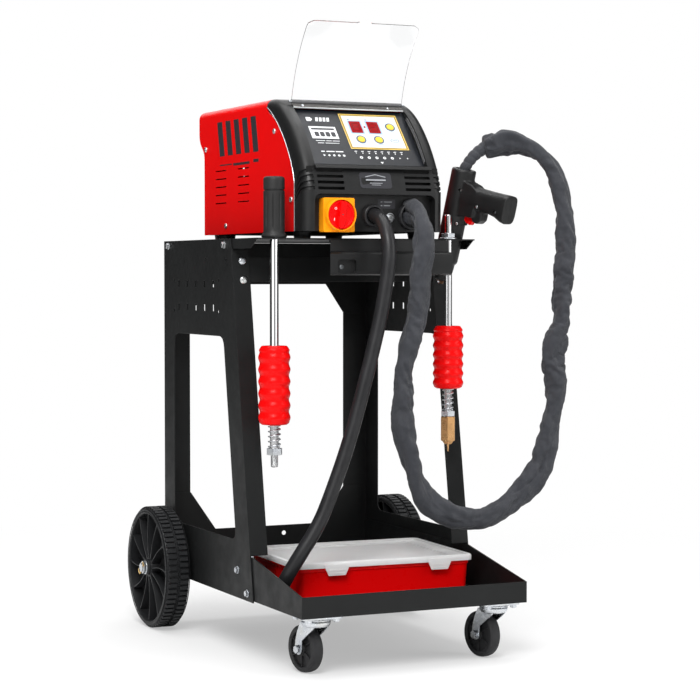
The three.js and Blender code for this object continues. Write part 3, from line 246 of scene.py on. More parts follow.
def smooth_path(points, spacing):
    """Evenly spaced points on a Catmull-Rom curve through the given ones."""
    p = np.asarray(points, float)
    p = np.vstack([2 * p[0] - p[1], p, 2 * p[-1] - p[-2]])
    dense = []
    for a, b, c, d in zip(p, p[1:], p[2:], p[3:]):
        for t in np.linspace(0, 1, 24, endpoint=False):
            bend = (2 * a - 5 * b + 4 * c - d) * t ** 2 + (3 * b - a - 3 * c + d) * t ** 3
            dense.append(0.5 * (2 * b + (c - a) * t + bend))
    dense = np.array(dense + [p[-2]])
    length = np.concatenate([[0], np.cumsum(np.linalg.norm(np.diff(dense, axis=0), axis=1))])
    even = np.linspace(0, length[-1], max(2, int(length[-1] / spacing)) + 1)
    return np.stack([np.interp(even, length, dense[:, k]) for k in range(3)], axis=1)


def tube(path, radius, sides=24):
    """Round cord along a path with flat ends and no twist. radius is a number or radius(share, angle)."""
    path = np.asarray(path, float)
    tangents = np.gradient(path, axis=0)
    tangents /= np.linalg.norm(tangents, axis=1)[:, None]
    across = np.array([0.0, 1.0, 0.0]) if abs(tangents[0][1]) < 0.9 else np.array([1.0, 0.0, 0.0])
    sections = []
    for i, (point, tangent) in enumerate(zip(path, tangents)):
        across = across - tangent * (across @ tangent)
        across /= np.linalg.norm(across)
        sideways = np.cross(tangent, across)
        section = []
        for k in range(sides):
            a = 2 * math.pi * k / sides
            r = radius(i / (len(path) - 1), a) if callable(radius) else radius
            section.append(point + r * (math.cos(a) * across + math.sin(a) * sideways))
        sections.append(section)
    return loft(sections)


def grid_faces(rows, columns):
    """Quads between neighbouring points of a grid stored row by row."""
    return [[i * columns + k, i * columns + k + 1, (i + 1) * columns + k + 1, (i + 1) * columns + k]
            for i in range(rows - 1) for k in range(columns - 1)]


# ------------------------------------------------------------------ pieces


def new_object(name, shape):
    """A Blender object from a shape in trolley millimetres."""
    verts, faces = shape
    mesh = bpy.data.meshes.new(name)
    mesh.from_pydata((np.asarray(verts, float) * MM + ORIGIN).tolist(), [], faces)
    work = bmesh.new()
    work.from_mesh(mesh)
    bmesh.ops.recalc_face_normals(work, faces=work.faces)
    work.to_mesh(mesh)
    work.free()
    piece = bpy.data.objects.new(name, mesh)
    bpy.context.scene.collection.objects.link(piece)
    return piece


def applied_mesh(piece):
    """A new mesh with the modifiers of a piece applied."""
    graph = bpy.context.evaluated_depsgraph_get()
    return bpy.data.meshes.new_from_object(piece.evaluated_get(graph), depsgraph=graph)


def cut_away(piece, cutter_shape):
    """Boolean difference, done once and kept in the mesh."""
    cutter = new_object("cutter", cutter_shape)
    boolean = piece.modifiers.new("cut", "BOOLEAN")
    boolean.operation = "DIFFERENCE"
    boolean.solver = "EXACT"
    boolean.object = cutter
    mesh = applied_mesh(piece)
    piece.modifiers.clear()
    piece.data = mesh
    bpy.data.objects.remove(cutter)


def round_edges(piece, width, segments, limit):
    bevel = piece.modifiers.new("rounded edges", "BEVEL")
    bevel.width = width * MM
    bevel.segments = segments
    bevel.limit_method = "ANGLE"
    bevel.angle_limit = math.radians(limit)
    bevel.harden_normals = True


def finish(piece, look, stands_for=None, body="trolley", slot=None, width=0.0, segments=2, smooth=38,
           limit=30):
    """Gives a piece its material, smooth shading with creases past the smooth angle, and edges rounded by
    width millimetres. It rides on the body of the CAD node that it stands for, or on the body given."""
    piece.data.materials.clear()
    piece.data.materials.append(MATERIALS[look])
    piece.data.shade_smooth()
    piece.data.set_sharp_from_angle(angle=math.radians(smooth))
    if width:
        round_edges(piece, width, segments, limit)
    if stands_for:
        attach(piece, BODY_OF[stands_for])
        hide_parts(stands_for)
    else:
        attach(piece, body)
    return piece


def piece_of(name, shape, look, stands_for=None, **settings):
    return finish(new_object(name, shape), look, stands_for, **settings)


def places_joined(shape, places):
    """Copies of a shape at several places."""
    return joined(*[shifted(shape, *place) for place in places])


# ------------------------------------------------------------------ materials


def add_node(tree, kind, inputs=None, **settings):
    """Adds a shader node. An input is a value or the socket that feeds it."""
    node = tree.nodes.new(kind)
    for key, value in settings.items():
        setattr(node, key, value)
    for key, value in (inputs or {}).items():
        if isinstance(value, bpy.types.NodeSocket):
            tree.links.new(value, node.inputs[key])
        else:
            node.inputs[key].default_value = value
    return node


def shaded(colour, share):
    return [c * share for c in colour]


class Look:
    """A Principled material, with short calls for the colour, roughness and bump patterns used here.
    Scales are features per metre of the object's own coordinates."""

    def __init__(self, name, colour, roughness, metallic=0.0, **inputs):
        self.material = bpy.data.materials.new(name)
        self.material.use_nodes = True
        self.tree = self.material.node_tree
        self.shader = self.tree.nodes["Principled BSDF"]
        self.colour = (*colour, 1.0)
        self.coordinates = self.tree.nodes.new("ShaderNodeTexCoord")
        self.normal = None
        values = {"base_color": self.colour, "roughness": roughness, "metallic": metallic, **inputs}
        for key, value in values.items():
            title = key.replace("_", " ").title().replace("Ior", "IOR")
            self.shader.inputs[title].default_value = value

    def add(self, kind, inputs=None, **settings):
        return add_node(self.tree, kind, inputs, **settings)

    def link(self, socket, name):
        self.tree.links.new(socket, self.shader.inputs[name])

    def coords(self, stretch, source="Object"):
        inputs = {"Vector": self.coordinates.outputs[source], "Scale": stretch}
        return self.add("ShaderNodeMapping", inputs).outputs[0]

    def noise(self, scale, detail=3.0, stretch=(1, 1, 1)):
        inputs = {"Vector": self.coords(stretch), "Scale": scale, "Detail": detail}
        return self.add("ShaderNodeTexNoise", inputs).outputs["Fac"]

    def waves(self, scale, direction, stretch=(1, 1, 1), source="Object", distortion=0.0):
        inputs = {"Vector": self.coords(stretch, source), "Scale": scale, "Distortion": distortion}
        return self.add("ShaderNodeTexWave", inputs, bands_direction=direction).outputs["Fac"]

    def spread(self, socket, low, high, start=0.3, end=0.7):
        """Maps a pattern from start..end to low..high."""
        inputs = {0: socket, 1: start, 2: end, 3: low, 4: high}
        return self.add("ShaderNodeMapRange", inputs).outputs[0]

    def math(self, operation, a, b):
        return self.add("ShaderNodeMath", {0: a, 1: b}, operation=operation).outputs[0]

    def tint(self, socket, other, amount=1.0):
        """Mixes the colour towards another one where the pattern is high."""
        factor = self.math("MULTIPLY", socket, amount)
        link = self.shader.inputs["Base Color"].links
        base = link[0].from_socket if link else self.colour
        mix = self.add("ShaderNodeMix", {0: factor, 6: base, 7: (*other, 1.0)}, data_type="RGBA")
        self.link(mix.outputs[2], "Base Color")
        return self

    def cloud(self, scale, detail, other, amount, stretch=(1, 1, 1), start=0.3, end=0.7):
        """Soft patches of another colour."""
        return self.tint(self.spread(self.noise(scale, detail, stretch), 0, 1, start, end), other, amount)

    def roughen(self, low, high, scale, stretch=(1, 1, 1)):
        self.link(self.spread(self.noise(scale, 4.0, stretch), low, high), "Roughness")
        return self

    def bump(self, socket, depth, strength=1.0):
        """Raises the surface by up to depth millimetres where the pattern is high."""
        inputs = {"Height": socket, "Distance": depth * MM, "Strength": strength}
        if self.normal:
            inputs["Normal"] = self.normal
        self.normal = self.add("ShaderNodeBump", inputs).outputs[0]
        self.link(self.normal, "Normal")
        return self


def grained(name, colour, roughness, grain=1400, depth=0.05):
    """Moulded plastic with a fine spark-eroded grain."""
    look = Look(name, colour, roughness, specular_ior_level=0.28)
    look.roughen(roughness - 0.06, roughness + 0.08, 60)
    look.cloud(14, 4, [c * 1.5 + 0.002 for c in colour], 0.35)
    return look.bump(look.noise(grain, 2), depth).bump(look.noise(90, 2), 0.04)


def powder_coat(name, colour):
    look = Look(name, colour, 0.46, specular_ior_level=0.2)
    look.roughen(0.40, 0.54, 40).cloud(9, 5, (0.012, 0.013, 0.013), 0.5)
    return look.bump(look.noise(850, 2), 0.06).bump(look.noise(240, 2), 0.05)


def gloss_paint(name, colour, roughness):
    look = Look(name, colour, roughness, specular_ior_level=0.13, coat_weight=0.03, coat_roughness=0.1)
    look.roughen(roughness - 0.02, roughness + 0.03, 30).cloud(7, 3, shaded(colour, 0.86), 0.5)
    return look.bump(look.noise(420, 2), 0.015)


def gloss_plastic(name, colour, roughness=0.3):
    look = Look(name, colour, roughness, specular_ior_level=0.12, coat_weight=0.02, coat_roughness=0.1)
    look.roughen(roughness - 0.06, roughness + 0.08, 70).cloud(6, 2, shaded(colour, 0.86), 0.3)
    return look.bump(look.noise(160, 2), 0.03)


def zinc(name, colour):
    """Bright plate with blue and yellow passivation patches."""
    look = Look(name, colour, 0.3, 1.0)
    look.roughen(0.22, 0.42, 130).cloud(55, 3, (0.50, 0.53, 0.58), 0.7)
    look.cloud(23, 2, (0.62, 0.58, 0.45), 0.35, start=0.5, end=0.75)
    return look.bump(look.noise(600, 2), 0.02)


def chrome(name, colour):
    """Polished rod with marks drawn out along Z."""
    look = Look(name, colour, 0.1, 1.0)
    look.roughen(0.07, 0.15, 25, (1, 1, 0.2)).cloud(12, 4, (0.70, 0.70, 0.72), 0.5, (1, 1, 0.3))
    return look.bump(look.noise(90, 2, (1, 1, 9)), 0.003)


def machined(name, colour, roughness=0.3):
    """Turned or milled metal with faint rings."""
    look = Look(name, colour, roughness, 1.0)
    look.roughen(roughness - 0.08, roughness + 0.14, 160).cloud(60, 4, shaded(colour, 0.62), 0.6)
    return look.bump(look.noise(130, 2, (1, 1, 12)), 0.02)


def rubber(name, colour, roughness, depth=0.08):
    look = Look(name, colour, roughness, specular_ior_level=0.27)
    look.roughen(roughness - 0.08, roughness + 0.1, 90).cloud(30, 4, shaded(colour, 1.9), 0.5)
    return look.bump(look.noise(700, 3), depth)


def printed(name, colour, roughness=0.4, shine=0.3):
    """Screen-printed film: a thin even ink with a faint orange peel."""
    look = Look(name, colour, roughness, specular_ior_level=shine)
    look.roughen(roughness - 0.05, roughness + 0.06, 150).cloud(80, 3, shaded(colour, 0.85), 0.35)
    return look.bump(look.noise(1100, 2), 0.01)


def woven_sleeve(name, colour):
    """Slate cloth: a plain weave from the sleeve's own UV map, with sheen and faded folds."""
    look = Look(name, colour, 0.85, sheen_weight=0.12, sheen_roughness=0.4, specular_ior_level=0.25)
    warp = look.waves(1.0, "X", (95, 1, 1), "UV")
    weft = look.waves(1.0, "Y", (1, 1500, 1), "UV")
    look.roughen(0.75, 0.95, 120)
    look.cloud(38, 5, (0.058, 0.060, 0.068), 0.8).cloud(900, 2, (0.022, 0.024, 0.030), 0.4)
    return look.bump(look.noise(55, 4), 0.9, 0.4).bump(look.math("MULTIPLY", warp, weft), 0.18, 0.8)


def clear_sheet(name, colour, roughness, transmission, ior):
    look = Look(name, colour, roughness, transmission_weight=transmission, ior=ior)
    return look.roughen(roughness, roughness + 0.05, 40).bump(look.noise(35, 2), 0.02)


def circuit_board(name, colour):
    look = Look(name, colour, 0.45)
    traces = look.waves(60, "X", distortion=8.0)
    return look.tint(look.spread(traces, 0, 1, 0.8, 0.9), (0.25, 0.42, 0.12), 0.6).roughen(0.35, 0.55, 90)


LOOKS = {
    "powder_coat": (powder_coat, (0.0072, 0.0076, 0.0078)),
    "black_plastic": (grained, (0.0090, 0.0092, 0.0094), 0.38),
    "wheel_plastic": (grained, (0.0105, 0.011, 0.012), 0.46, 900, 0.08),
    "zinc": (zinc, (0.66, 0.68, 0.70)),
    "caster_rubber": (rubber, (0.015, 0.015, 0.016), 0.5),
    "red_paint": (gloss_paint, (0.80, 0.001, 0.0015), 0.34),
    "red_plastic": (gloss_plastic, (0.80, 0.0015, 0.002)),
    "orange_plastic": (gloss_plastic, (0.95, 0.33, 0.006), 0.32),
    "panel_film": (printed, (0.0080, 0.0095, 0.0130), 0.36),
    "yellow_button": (printed, (0.82, 0.55, 0.04), 0.42),
    "board": (circuit_board, (0.015, 0.11, 0.035)),
    "clear_visor": (clear_sheet, (0.99, 0.995, 1.0), 0.02, 1.0, 1.32),
    "clear_lid": (clear_sheet, (0.97, 0.97, 0.97), 0.28, 0.5, 1.3),
    "core_steel": (machined, (0.20, 0.21, 0.22), 0.45),
    "copper": (machined, (0.66, 0.37, 0.16)),
    "used_copper": (machined, (0.10, 0.055, 0.03), 0.5),
    "brass": (machined, (0.72, 0.50, 0.20), 0.34),
    "chrome": (chrome, (0.86, 0.86, 0.87)),
    "grip_rubber": (rubber, (0.014, 0.014, 0.014), 0.5, 0.1),
    "cable_rubber": (rubber, (0.012, 0.012, 0.013), 0.38, 0.03),
    "grey_fabric": (woven_sleeve, (0.034, 0.036, 0.042)),
    # Near-black: painted shade behind the bezel vents.
    "dark_inside": (rubber, (0.004, 0.004, 0.004), 0.8, 0.02),
    # White print, and also the painted highlight along the visor hinge leaf.
    "white_print": (printed, (0.78, 0.79, 0.80)),
    "grey_print": (printed, (0.30, 0.31, 0.33)),
    "dark_print": (printed, (0.03, 0.03, 0.035)),
    "gold_print": (printed, (0.74, 0.50, 0.09)),
    "blue_print": (printed, (0.055, 0.10, 0.16)),
    "plate_print": (printed, (0.60, 0.66, 0.71)),
    "leaf_print": (printed, (0.050, 0.047, 0.044), 0.3),
    # Light grey: painted highlight on the bezel ribs, and also the colour of the visor's hinge barrel.
    "rib_print": (printed, (0.13, 0.13, 0.135), 0.25),
    "display_red": (printed, (0.27, 0.002, 0.004), 0.18, 0.05),
    "digit_red": (printed, (0.08, 0.001, 0.002), 0.3, 0.05),
    "pale_print": (printed, (0.30, 0.45, 0.60)),
}
MATERIALS = {name: build(name, *settings).material for name, (build, *settings) in LOOKS.items()}


# ------------------------------------------------------------------ CAD nodes that stay


def smoothing_group():
    """Node group that welds a CAD mesh and shades it smooth, apart from edges sharper than 30 degrees."""
    group = bpy.data.node_groups.new("weld_and_smooth", "GeometryNodeTree")
    for direction in ("INPUT", "OUTPUT"):
        group.interface.new_socket("Geometry", in_out=direction, socket_type="NodeSocketGeometry")
    start, end = group.nodes.new("NodeGroupInput"), group.nodes.new("NodeGroupOutput")
    weld = add_node(group, "GeometryNodeMergeByDistance", {"Geometry": start.outputs[0], "Distance": 0.005 * MM})
    faces = add_node(group, "GeometryNodeSetShadeSmooth", {"Geometry": weld.outputs["Geometry"]})
    angle = group.nodes.new("GeometryNodeInputMeshEdgeAngle")
    sharp = add_node(group, "FunctionNodeCompare", {0: angle.outputs["Unsigned Angle"], 1: math.radians(30)})
    inputs = {"Geometry": faces.outputs["Geometry"], "Selection": sharp.outputs[0], "Shade Smooth": False}
    edges = add_node(group, "GeometryNodeSetShadeSmooth", inputs, domain="EDGE")
    group.links.new(edges.outputs["Geometry"], end.inputs[0])
    return group


SMOOTHING = smoothing_group()


def finish_cad_node(node):
    """Gives a carried CAD node its material, crisp shading and rounded edges."""
    piece = NODES[node]
    piece.material_slots[0].link = "OBJECT"
    piece.material_slots[0].material = MATERIALS[SLOT_OF[node]]
    weld = piece.modifiers.new("weld and smooth", "NODES")
    weld.node_group = SMOOTHING
    flat = piece.modifiers.new("merge flat faces", "DECIMATE")
    flat.decimate_type = "DISSOLVE"
    flat.angle_limit = math.radians(0.6)
    round_edges(piece, 0.6, 2, 35)


for cad_node in NODES:
    finish_cad_node(cad_node)


# ------------------------------------------------------------------ fasteners

CASE_LOW, CASE_HIGH = cad_box("case_cover")
SHELF_TOP = cad_box("top_shelf")[1][2]
FLANGE_TOP_Y, FLANGE_FOOT_Y = 274.6, 182.8
FLANGE_FOOT_Z = cad_box("side_panel_left")[0][2]
FRONT_SLOPE = (FLANGE_TOP_Y - FLANGE_FOOT_Y) / (SHELF_TOP - FLANGE_FOOT_Z)
RECESS_BACK = cad_box("switch_plate")[1][1]
SIDE_BOLTS = [(558.9, 645.1), (301.2, 644.2), (246.7, 132.6), (206.0, 101.0)]
CASE_SCREWS = [(263.9, 824.2), (564.9, 811.0), (197.6, 713.8), (472.1, 678.6)]
CROSSBAR_BOLT_X, CROSSBAR_BOLT_HEIGHTS = 174.5, (618.8, 588.5)
EARTH_SCREW_X, EARTH_SCREW_Z = 33.0, 686.5


def hex_bolt(across, height, washer):
    """Hexagon head with a turned crown on a washer, standing on Z = 0."""
    top = washer + height
    head = extruded(circle(across / 2 / math.cos(math.pi / 6), 6), washer, top)
    crown = turned([(across * 0.46, top - 0.2), (across * 0.42, top + 0.35)], 24)
    return joined(head, crown, disc(across * 0.72, 0, washer, 32))


def domed_bolt(radius, height):
    """Round dome head with a small sunk top, as used on sheet metal."""
    profile = [(0, 0), (radius, 0), (radius, height * 0.25)]
    profile += [(radius * math.cos(a), height * (0.25 + 0.75 * math.sin(a))) for a in np.linspace(0.25, 1.15, 5)]
    profile += [(profile[-1][0] * 0.95, height * 0.55), (0, height * 0.5)]
    return lathe(profile, 32)


def cross_screw(radius, height):
    """Low pan head with a cross recess: the top ring steps in to the cross, then down to a sunk floor."""
    reach, half, sides = radius * 0.58, radius * 0.13, 48
    cross, arm = [], [(half, half), (reach, half), (reach, -half)]
    for _ in range(4):
        cross += arm
        arm = [(y, -x) for x, y in arm]
    rings = [(radius, 0.0), (radius, height * 0.35), (radius * 0.93, height * 0.7), (radius * 0.72, height)]
    verts, faces = loft([[(x, y, z) for x, y in circle(r, sides)] for r, z in rings])
    faces.pop()
    count, lip = len(cross), len(verts)
    top, floor = lip - sides, lip + count
    verts += [(x, y, height) for x, y in cross] + [(x * 0.8, y * 0.8, height * 0.35) for x, y in cross]
    nearest = [round(math.atan2(y, x) / (2 * math.pi) * sides) % sides for x, y in cross]
    for i in range(count):
        j = (i + 1) % count
        k = nearest[j]
        fan = [top + k]
        while k != nearest[i]:
            k = (k + 1) % sides
            fan.append(top + k)
        faces.append(fan + [lip + i, lip + j])
        faces.append([lip + i, lip + j, floor + j, floor + i])
    faces.append(list(range(floor, floor + count)))
    return verts, faces


def on_both_sides(shape, left, right, places):
    """Copies of a shape that face outwards from two X planes, at (Y, Z) places."""
    return joined(*[facing(shape, direction, (x, y, z))
                    for y, z in places for direction, x in (("-x", left), ("x", right))])


def add_fasteners():
    """Bolts and screws, one piece for each group that is fixed to the trolley."""
    left, right = cad_box("side_panel_left")[0][0], cad_box("side_panel_right")[1][0]
    piece_of("side_bolts", on_both_sides(hex_bolt(8.5, 3.4, 0.9), left, right, SIDE_BOLTS), "zinc", width=0.25)
    flange = []
    for z in CROSSBAR_BOLT_HEIGHTS:
        y = FLANGE_TOP_Y - (SHELF_TOP - z) * FRONT_SLOPE - 0.4
        flange += [facing(domed_bolt(6.2, 3.6), "-y", (side * CROSSBAR_BOLT_X, y, z)) for side in (-1, 1)]
    piece_of("crossbar_bolts", joined(*flange), "zinc")
    screws = on_both_sides(cross_screw(4.4, 2.4), CASE_LOW[0], CASE_HIGH[0], CASE_SCREWS)
    piece_of("case_screws", screws, "zinc")
    earth = joined(disc(7.6, 0, 1.0, 32), shifted(cross_screw(6.0, 3.6), z=0.2))
    piece_of("earth_screw", facing(earth, "-y", (EARTH_SCREW_X, RECESS_BACK, EARTH_SCREW_Z)), "zinc")


# ------------------------------------------------------------------ wheels and castors

CASTER_HALF, CASTER_INSIDE, CASTER_SHEET = 9.5, 11.5, 2.4


def tread_blocks(radius, base, z0, z1, count, share, offset):
    """A row of tread blocks about Z, each a bar with slightly drafted walls."""
    parts = []
    for k in range(count):
        sections = []
        for r, spread, inset in ((base, 1.12, 0.0), (radius, 1.0, 0.7)):
            start, end = [math.pi / count * (2 * (k + offset) + side * share * spread) for side in (-1, 1)]
            corners = ((start, z0 + inset), (end, z0 + inset), (end, z1 - inset), (start, z1 - inset))
            sections.append([(r * math.cos(a), r * math.sin(a), z) for a, z in corners])
        parts.append(loft(sections))
    return joined(*parts)


def curved_spoke(inner, outer, bow, thickness, z0, z1):
    """A thin rib from hub to rim that bows to one side."""
    left, right = [], []
    for t in np.linspace(0, 1, 9):
        x, y = inner + (outer - inner) * t, bow * math.sin(math.pi * t)
        half = thickness / 2 * (1.5 - 0.8 * math.sin(math.pi * t))
        left.append((x, y + half))
        right.append((x, y - half))
    return extruded(right + left[::-1], z0, z1)


def rear_wheel_shape(radius, half):
    """Moulded wheel about Z: tread, side walls, a middle web and thin bowed ribs on both faces."""
    rim, hub, web, bore = radius - 10.5, 13.5, 2.0, 8.2
    parts = [
        even_ring([(rim - 2.2, -web), (rim - 1.6, -half + 2), (rim, -half), (radius - 9, -half),
                   (radius - 4.2, -half + 2.4), (radius - 3.4, -half + 5)], 96),
        ring(hub - 6, rim + 1, -web, web, 64),
        even_ring([(bore, -half - 2), (hub - 2, -half - 2), (hub, -half)]),
        even_ring([(hub - 1, -half + 3), (hub + 2.4, -half + 3), (hub + 3, -half + 5)], 64),
        even_ring([(radius - 4.5, -0.8), (radius - 1.8, -0.5)], 96),
    ]
    for side in (-1, 1):
        parts.append(ring(radius - 7.4, radius - 4.6, side * (half - 0.6), side * (half + 0.2), 96))
        blocks = sorted((side * 1.8, side * (half - 3.2)))
        parts.append(tread_blocks(radius, radius - 4.4, *blocks, 66, 0.62, 0.25 + 0.25 * side))
        rib = curved_spoke(hub + 1.5, rim + 0.5, 4.6, 2.3, *sorted((side * (web - 0.5), side * (half - 3.4))))
        parts += [rotated(rib, 30 * k, "Z") for k in range(12)]
    return joined(*parts)


def split_pin():
    """Cotter pin about Z: a loop on top and two legs bent apart."""
    loop = [(4.5 * math.cos(a), 13 + 4.0 * math.sin(a), 6.4) for a in np.linspace(-1.2, 4.34, 16)]
    legs = [[(-1.3, 9, 6.4), (-1.3, -9, 6.4), (-4, -13, 7.4)], [(1.3, 9, 6.4), (1.3, -9, 6.4), (4.5, -12, 7.4)]]
    wires = [smooth_path(loop, 1.2)] + [smooth_path(leg, 2) for leg in legs]
    return rotated(joined(*[tube(wire, 1.1, 10) for wire in wires]), 35, "Z")


def add_rear_wheels():
    end = joined(turned([(12, 0), (12, 1.4), (11, 2.0)], 40), turned([(7.3, 2), (7.3, 7.0), (6.2, 8.3)], 40),
                 extruded(circle(11.2, 6), 2.1, 5.6))
    for side, outwards, sign in (("left", "-x", -1), ("right", "x", 1)):
        node = f"rear_wheel_{side}"
        low, high = cad_box(node)
        middle, size = (low + high) / 2, high - low
        wheel = facing(rear_wheel_shape(size[2] / 2, size[0] / 2 - 2), outwards, middle)
        piece_of(f"moulded_{node}", wheel, "wheel_plastic", node, width=0.45, segments=1, limit=35)
        place = (middle[0] + sign * (size[0] / 2 + 0.15), middle[1], middle[2])
        piece_of(f"axle_end_{side}", facing(end, outwards, place), "zinc", width=0.4)
        piece_of(f"split_pin_{side}", facing(split_pin(), outwards, place), "brass", slot="copper")


def caster_wheel_shape(radius, half):
    """Black castor wheel about Z: crowned tread, sunk faces with radial webs, and a hub."""
    sunk, hub, bore = half - 4.5, 9.0, 4.4
    tyre = even_ring([(radius - 9, -half + 1.2), (radius - 8, -half), (radius - 3, -half),
                      (radius - 0.9, -half + 2), (radius, -half * 0.35)], 72)
    plate = ring(bore, radius - 7, -sunk, sunk, 64)
    boss = even_ring([(bore, -half), (hub - 1, -half), (hub, -half + 1)], 40)
    web = rectangle(radius - 14, 1.8, (radius + hub) / 2 - 1)
    webs = [rotated(extruded(web, z0, z1), 60 * k, "Z")
            for k in range(6) for z0, z1 in ((sunk - 0.5, half - 1.5), (-half + 1.5, -sunk + 0.5))]
    return joined(tyre, plate, boss, *webs)


def caster_cheek(trail, axle_height, top, thickness):
    """One arm of the fork, wide under the raceway and tapering to a round end at the axle."""
    end = [(trail + 8.5 * math.cos(a), axle_height + 8.5 * math.sin(a)) for a in np.linspace(-math.pi, 0.0, 13)]
    front = [(-15, top), (-15, top - 3), (-11, top - 8), (2, top - 17), (trail - 9.6, axle_height + 14)]
    rear = [(trail + 7.6, axle_height + 12), (trail + 3, top - 16), (trail - 3, top - 5), (trail - 6, top)]
    return side_prism(front + end + rear, 0, thickness)


def caster_fork(trail, radius, top):
    crown = turned([(15.5, 72.6), (19.5, 74.2), (21.5, 77.0), (22.2, 79.0), (22.2, 80.6), (21.2, top)], 56)
    cheek = caster_cheek(trail, radius, 78.5, CASTER_SHEET)
    arms = [shifted(cheek, x) for x in (CASTER_INSIDE, -CASTER_INSIDE - CASTER_SHEET)]
    bridge = block(-CASTER_INSIDE - 0.5, CASTER_INSIDE + 0.5, -14.5, trail - 7, 75.6, 78.2)
    return joined(crown, *arms, bridge)


def caster_plate(fork_top, top):
    """Raceway, square plate and the four nuts under it."""
    raceway = turned([(20.6, fork_top + 0.4), (23.2, 83.0), (23.8, 84.2), (23.2, 85.4), (21.8, 86.2),
                      (21.8, 87.6)], 56)
    square = extruded(rounded_outline(rectangle(62, 62), 6), 87.5, top)
    nut = joined(extruded(circle(6.1, 6), 82.9, 87.6), disc(3, 81.8, 83, 24))
    return joined(raceway, square, places_joined(nut, [(x, y) for x in (-22.5, 22.5) for y in (-22.5, 22.5)]))


def add_casters():
    for side in ("left", "right"):
        plate, wheel, fork = [f"caster_{part}_{side}" for part in ("plate", "wheel", "fork")]
        pivot, radius = cad_middle(plate), (cad_box(wheel)[1][2] - cad_box(wheel)[0][2]) / 2
        fork_top = cad_box(fork)[1][2]
        away = cad_middle(wheel) - pivot
        trail, yaw = math.hypot(away[0], away[1]), math.atan2(-away[0], away[1])
        turn = Matrix.Translation((pivot[0], pivot[1], 0)) @ Matrix.Rotation(yaw, 4, "Z")
        turning = facing(caster_wheel_shape(radius, CASTER_HALF), "x", (0, trail, radius))
        piece_of(f"moulded_{wheel}", placed(turning, turn), "caster_rubber", wheel, width=0.3, segments=1)
        piece_of(f"pressed_{fork}", placed(caster_fork(trail, radius, fork_top), turn), "zinc", fork, width=0.5)
        flat = shifted(caster_plate(fork_top, cad_box(plate)[1][2]), pivot[0], pivot[1])
        piece_of(f"pressed_{plate}", flat, "zinc", plate, width=0.35)


# ------------------------------------------------------------------ slide hammers

LEFT_ROD_R, RIGHT_ROD_R = 6.8, 6.1
SPRING_WIRE, SPRING_TURNS = 1.15, 5


def hammer_grip(base, top):
    """Black rubber grip about Z: flared foot, fluted middle, a groove and a rounded cap."""
    radius, flutes, cap = 16.7, 20, base + 72
    foot = [(0, base), (18.6, base), (19.8, base + 1.2), (19.8, base + 3.6), (18.2, base + 6), (radius, base + 9)]
    middle = [(radius, base + 9 + 3 * i) for i in range(1, flutes + 1)]
    end = [(radius, cap), (radius - 1.4, cap + 0.8), (radius - 1.4, cap + 2.2), (radius, cap + 3),
           (radius, top - 5)]
    end += [(radius - 5 + 5 * math.cos(a), top - 5 + 5 * math.sin(a)) for a in np.linspace(0.3, math.pi / 2, 5)]

    def flute(angle, index):
        if len(foot) < index < len(foot) + flutes - 1:
            return 1 - 0.075 * max(0.0, math.cos(9 * angle)) ** 6
        return 1.0

    return lathe([*foot, *middle, *end, (0, top)], 108, flute)


def sliding_weight(bottom, top, radius):
    """Red weight about Z: six soft waves and a chamfered neck."""
    waves, steps, neck = 6, 9, 10.0
    pitch = (top - neck - bottom) / waves
    profile = [(radius - 5.5, bottom), (radius - 4.4, bottom + 0.8)]
    for t in [(k + 0.5) / steps for k in range(waves * steps)]:
        profile.append((radius - 1.2 - 1.2 * math.cos(2 * math.pi * t), bottom + 1.2 + pitch * t))
    profile += [(radius - 1.2, top - neck + 3), (radius - 1.6, top - neck + 4.5), (radius - 4.5, top - 1.2),
                (radius - 6.0, top)]
    return turned(profile, 72)


def spring_shape(bottom, top, radius):
    """Open coil with flat end turns."""
    path = []
    for t in np.linspace(0, 1, SPRING_TURNS * 28 + 1):
        angle = 2 * math.pi * SPRING_TURNS * t
        rise = (top - bottom - 2 * SPRING_WIRE) * min(1.0, max(0.0, (t - 0.07) / 0.86))
        path.append((radius * math.cos(angle), radius * math.sin(angle), bottom + SPRING_WIRE + rise))
    return tube(path, SPRING_WIRE, 10)


def nut_shape(low, high, corner_radius):
    """Hexagon nut with turned faces."""
    body = extruded(circle(corner_radius, 6), low, high)
    return joined(body, disc(corner_radius * 0.86, low - 0.4, high + 0.4, 40))


def thread(low, high, radius, pitch=1.5):
    profile = []
    for z in [low + pitch * i for i in range(int((high - low) / pitch))]:
        profile += [(radius - 0.5, z), (radius, z + pitch * 0.4), (radius - 0.5, z + pitch * 0.9)]
    return turned(profile + [(radius - 0.7, high)], 32)


def add_slider(side, x, y, coil_radius):
    """The red weight of a slide hammer and the spring that stops it."""
    node = f"{side}_hammer_weight"
    low, high = cad_box(node)
    weight = sliding_weight(low[2], high[2], (high[0] - low[0]) / 2)
    piece_of(f"{side}_hammer_slider", shifted(weight, x, y), "red_plastic", node)
    node = f"{side}_hammer_spring"
    low, high = cad_box(node)
    piece_of(f"{side}_hammer_coil", shifted(spring_shape(low[2], high[2], coil_radius), x, y), "zinc", node)


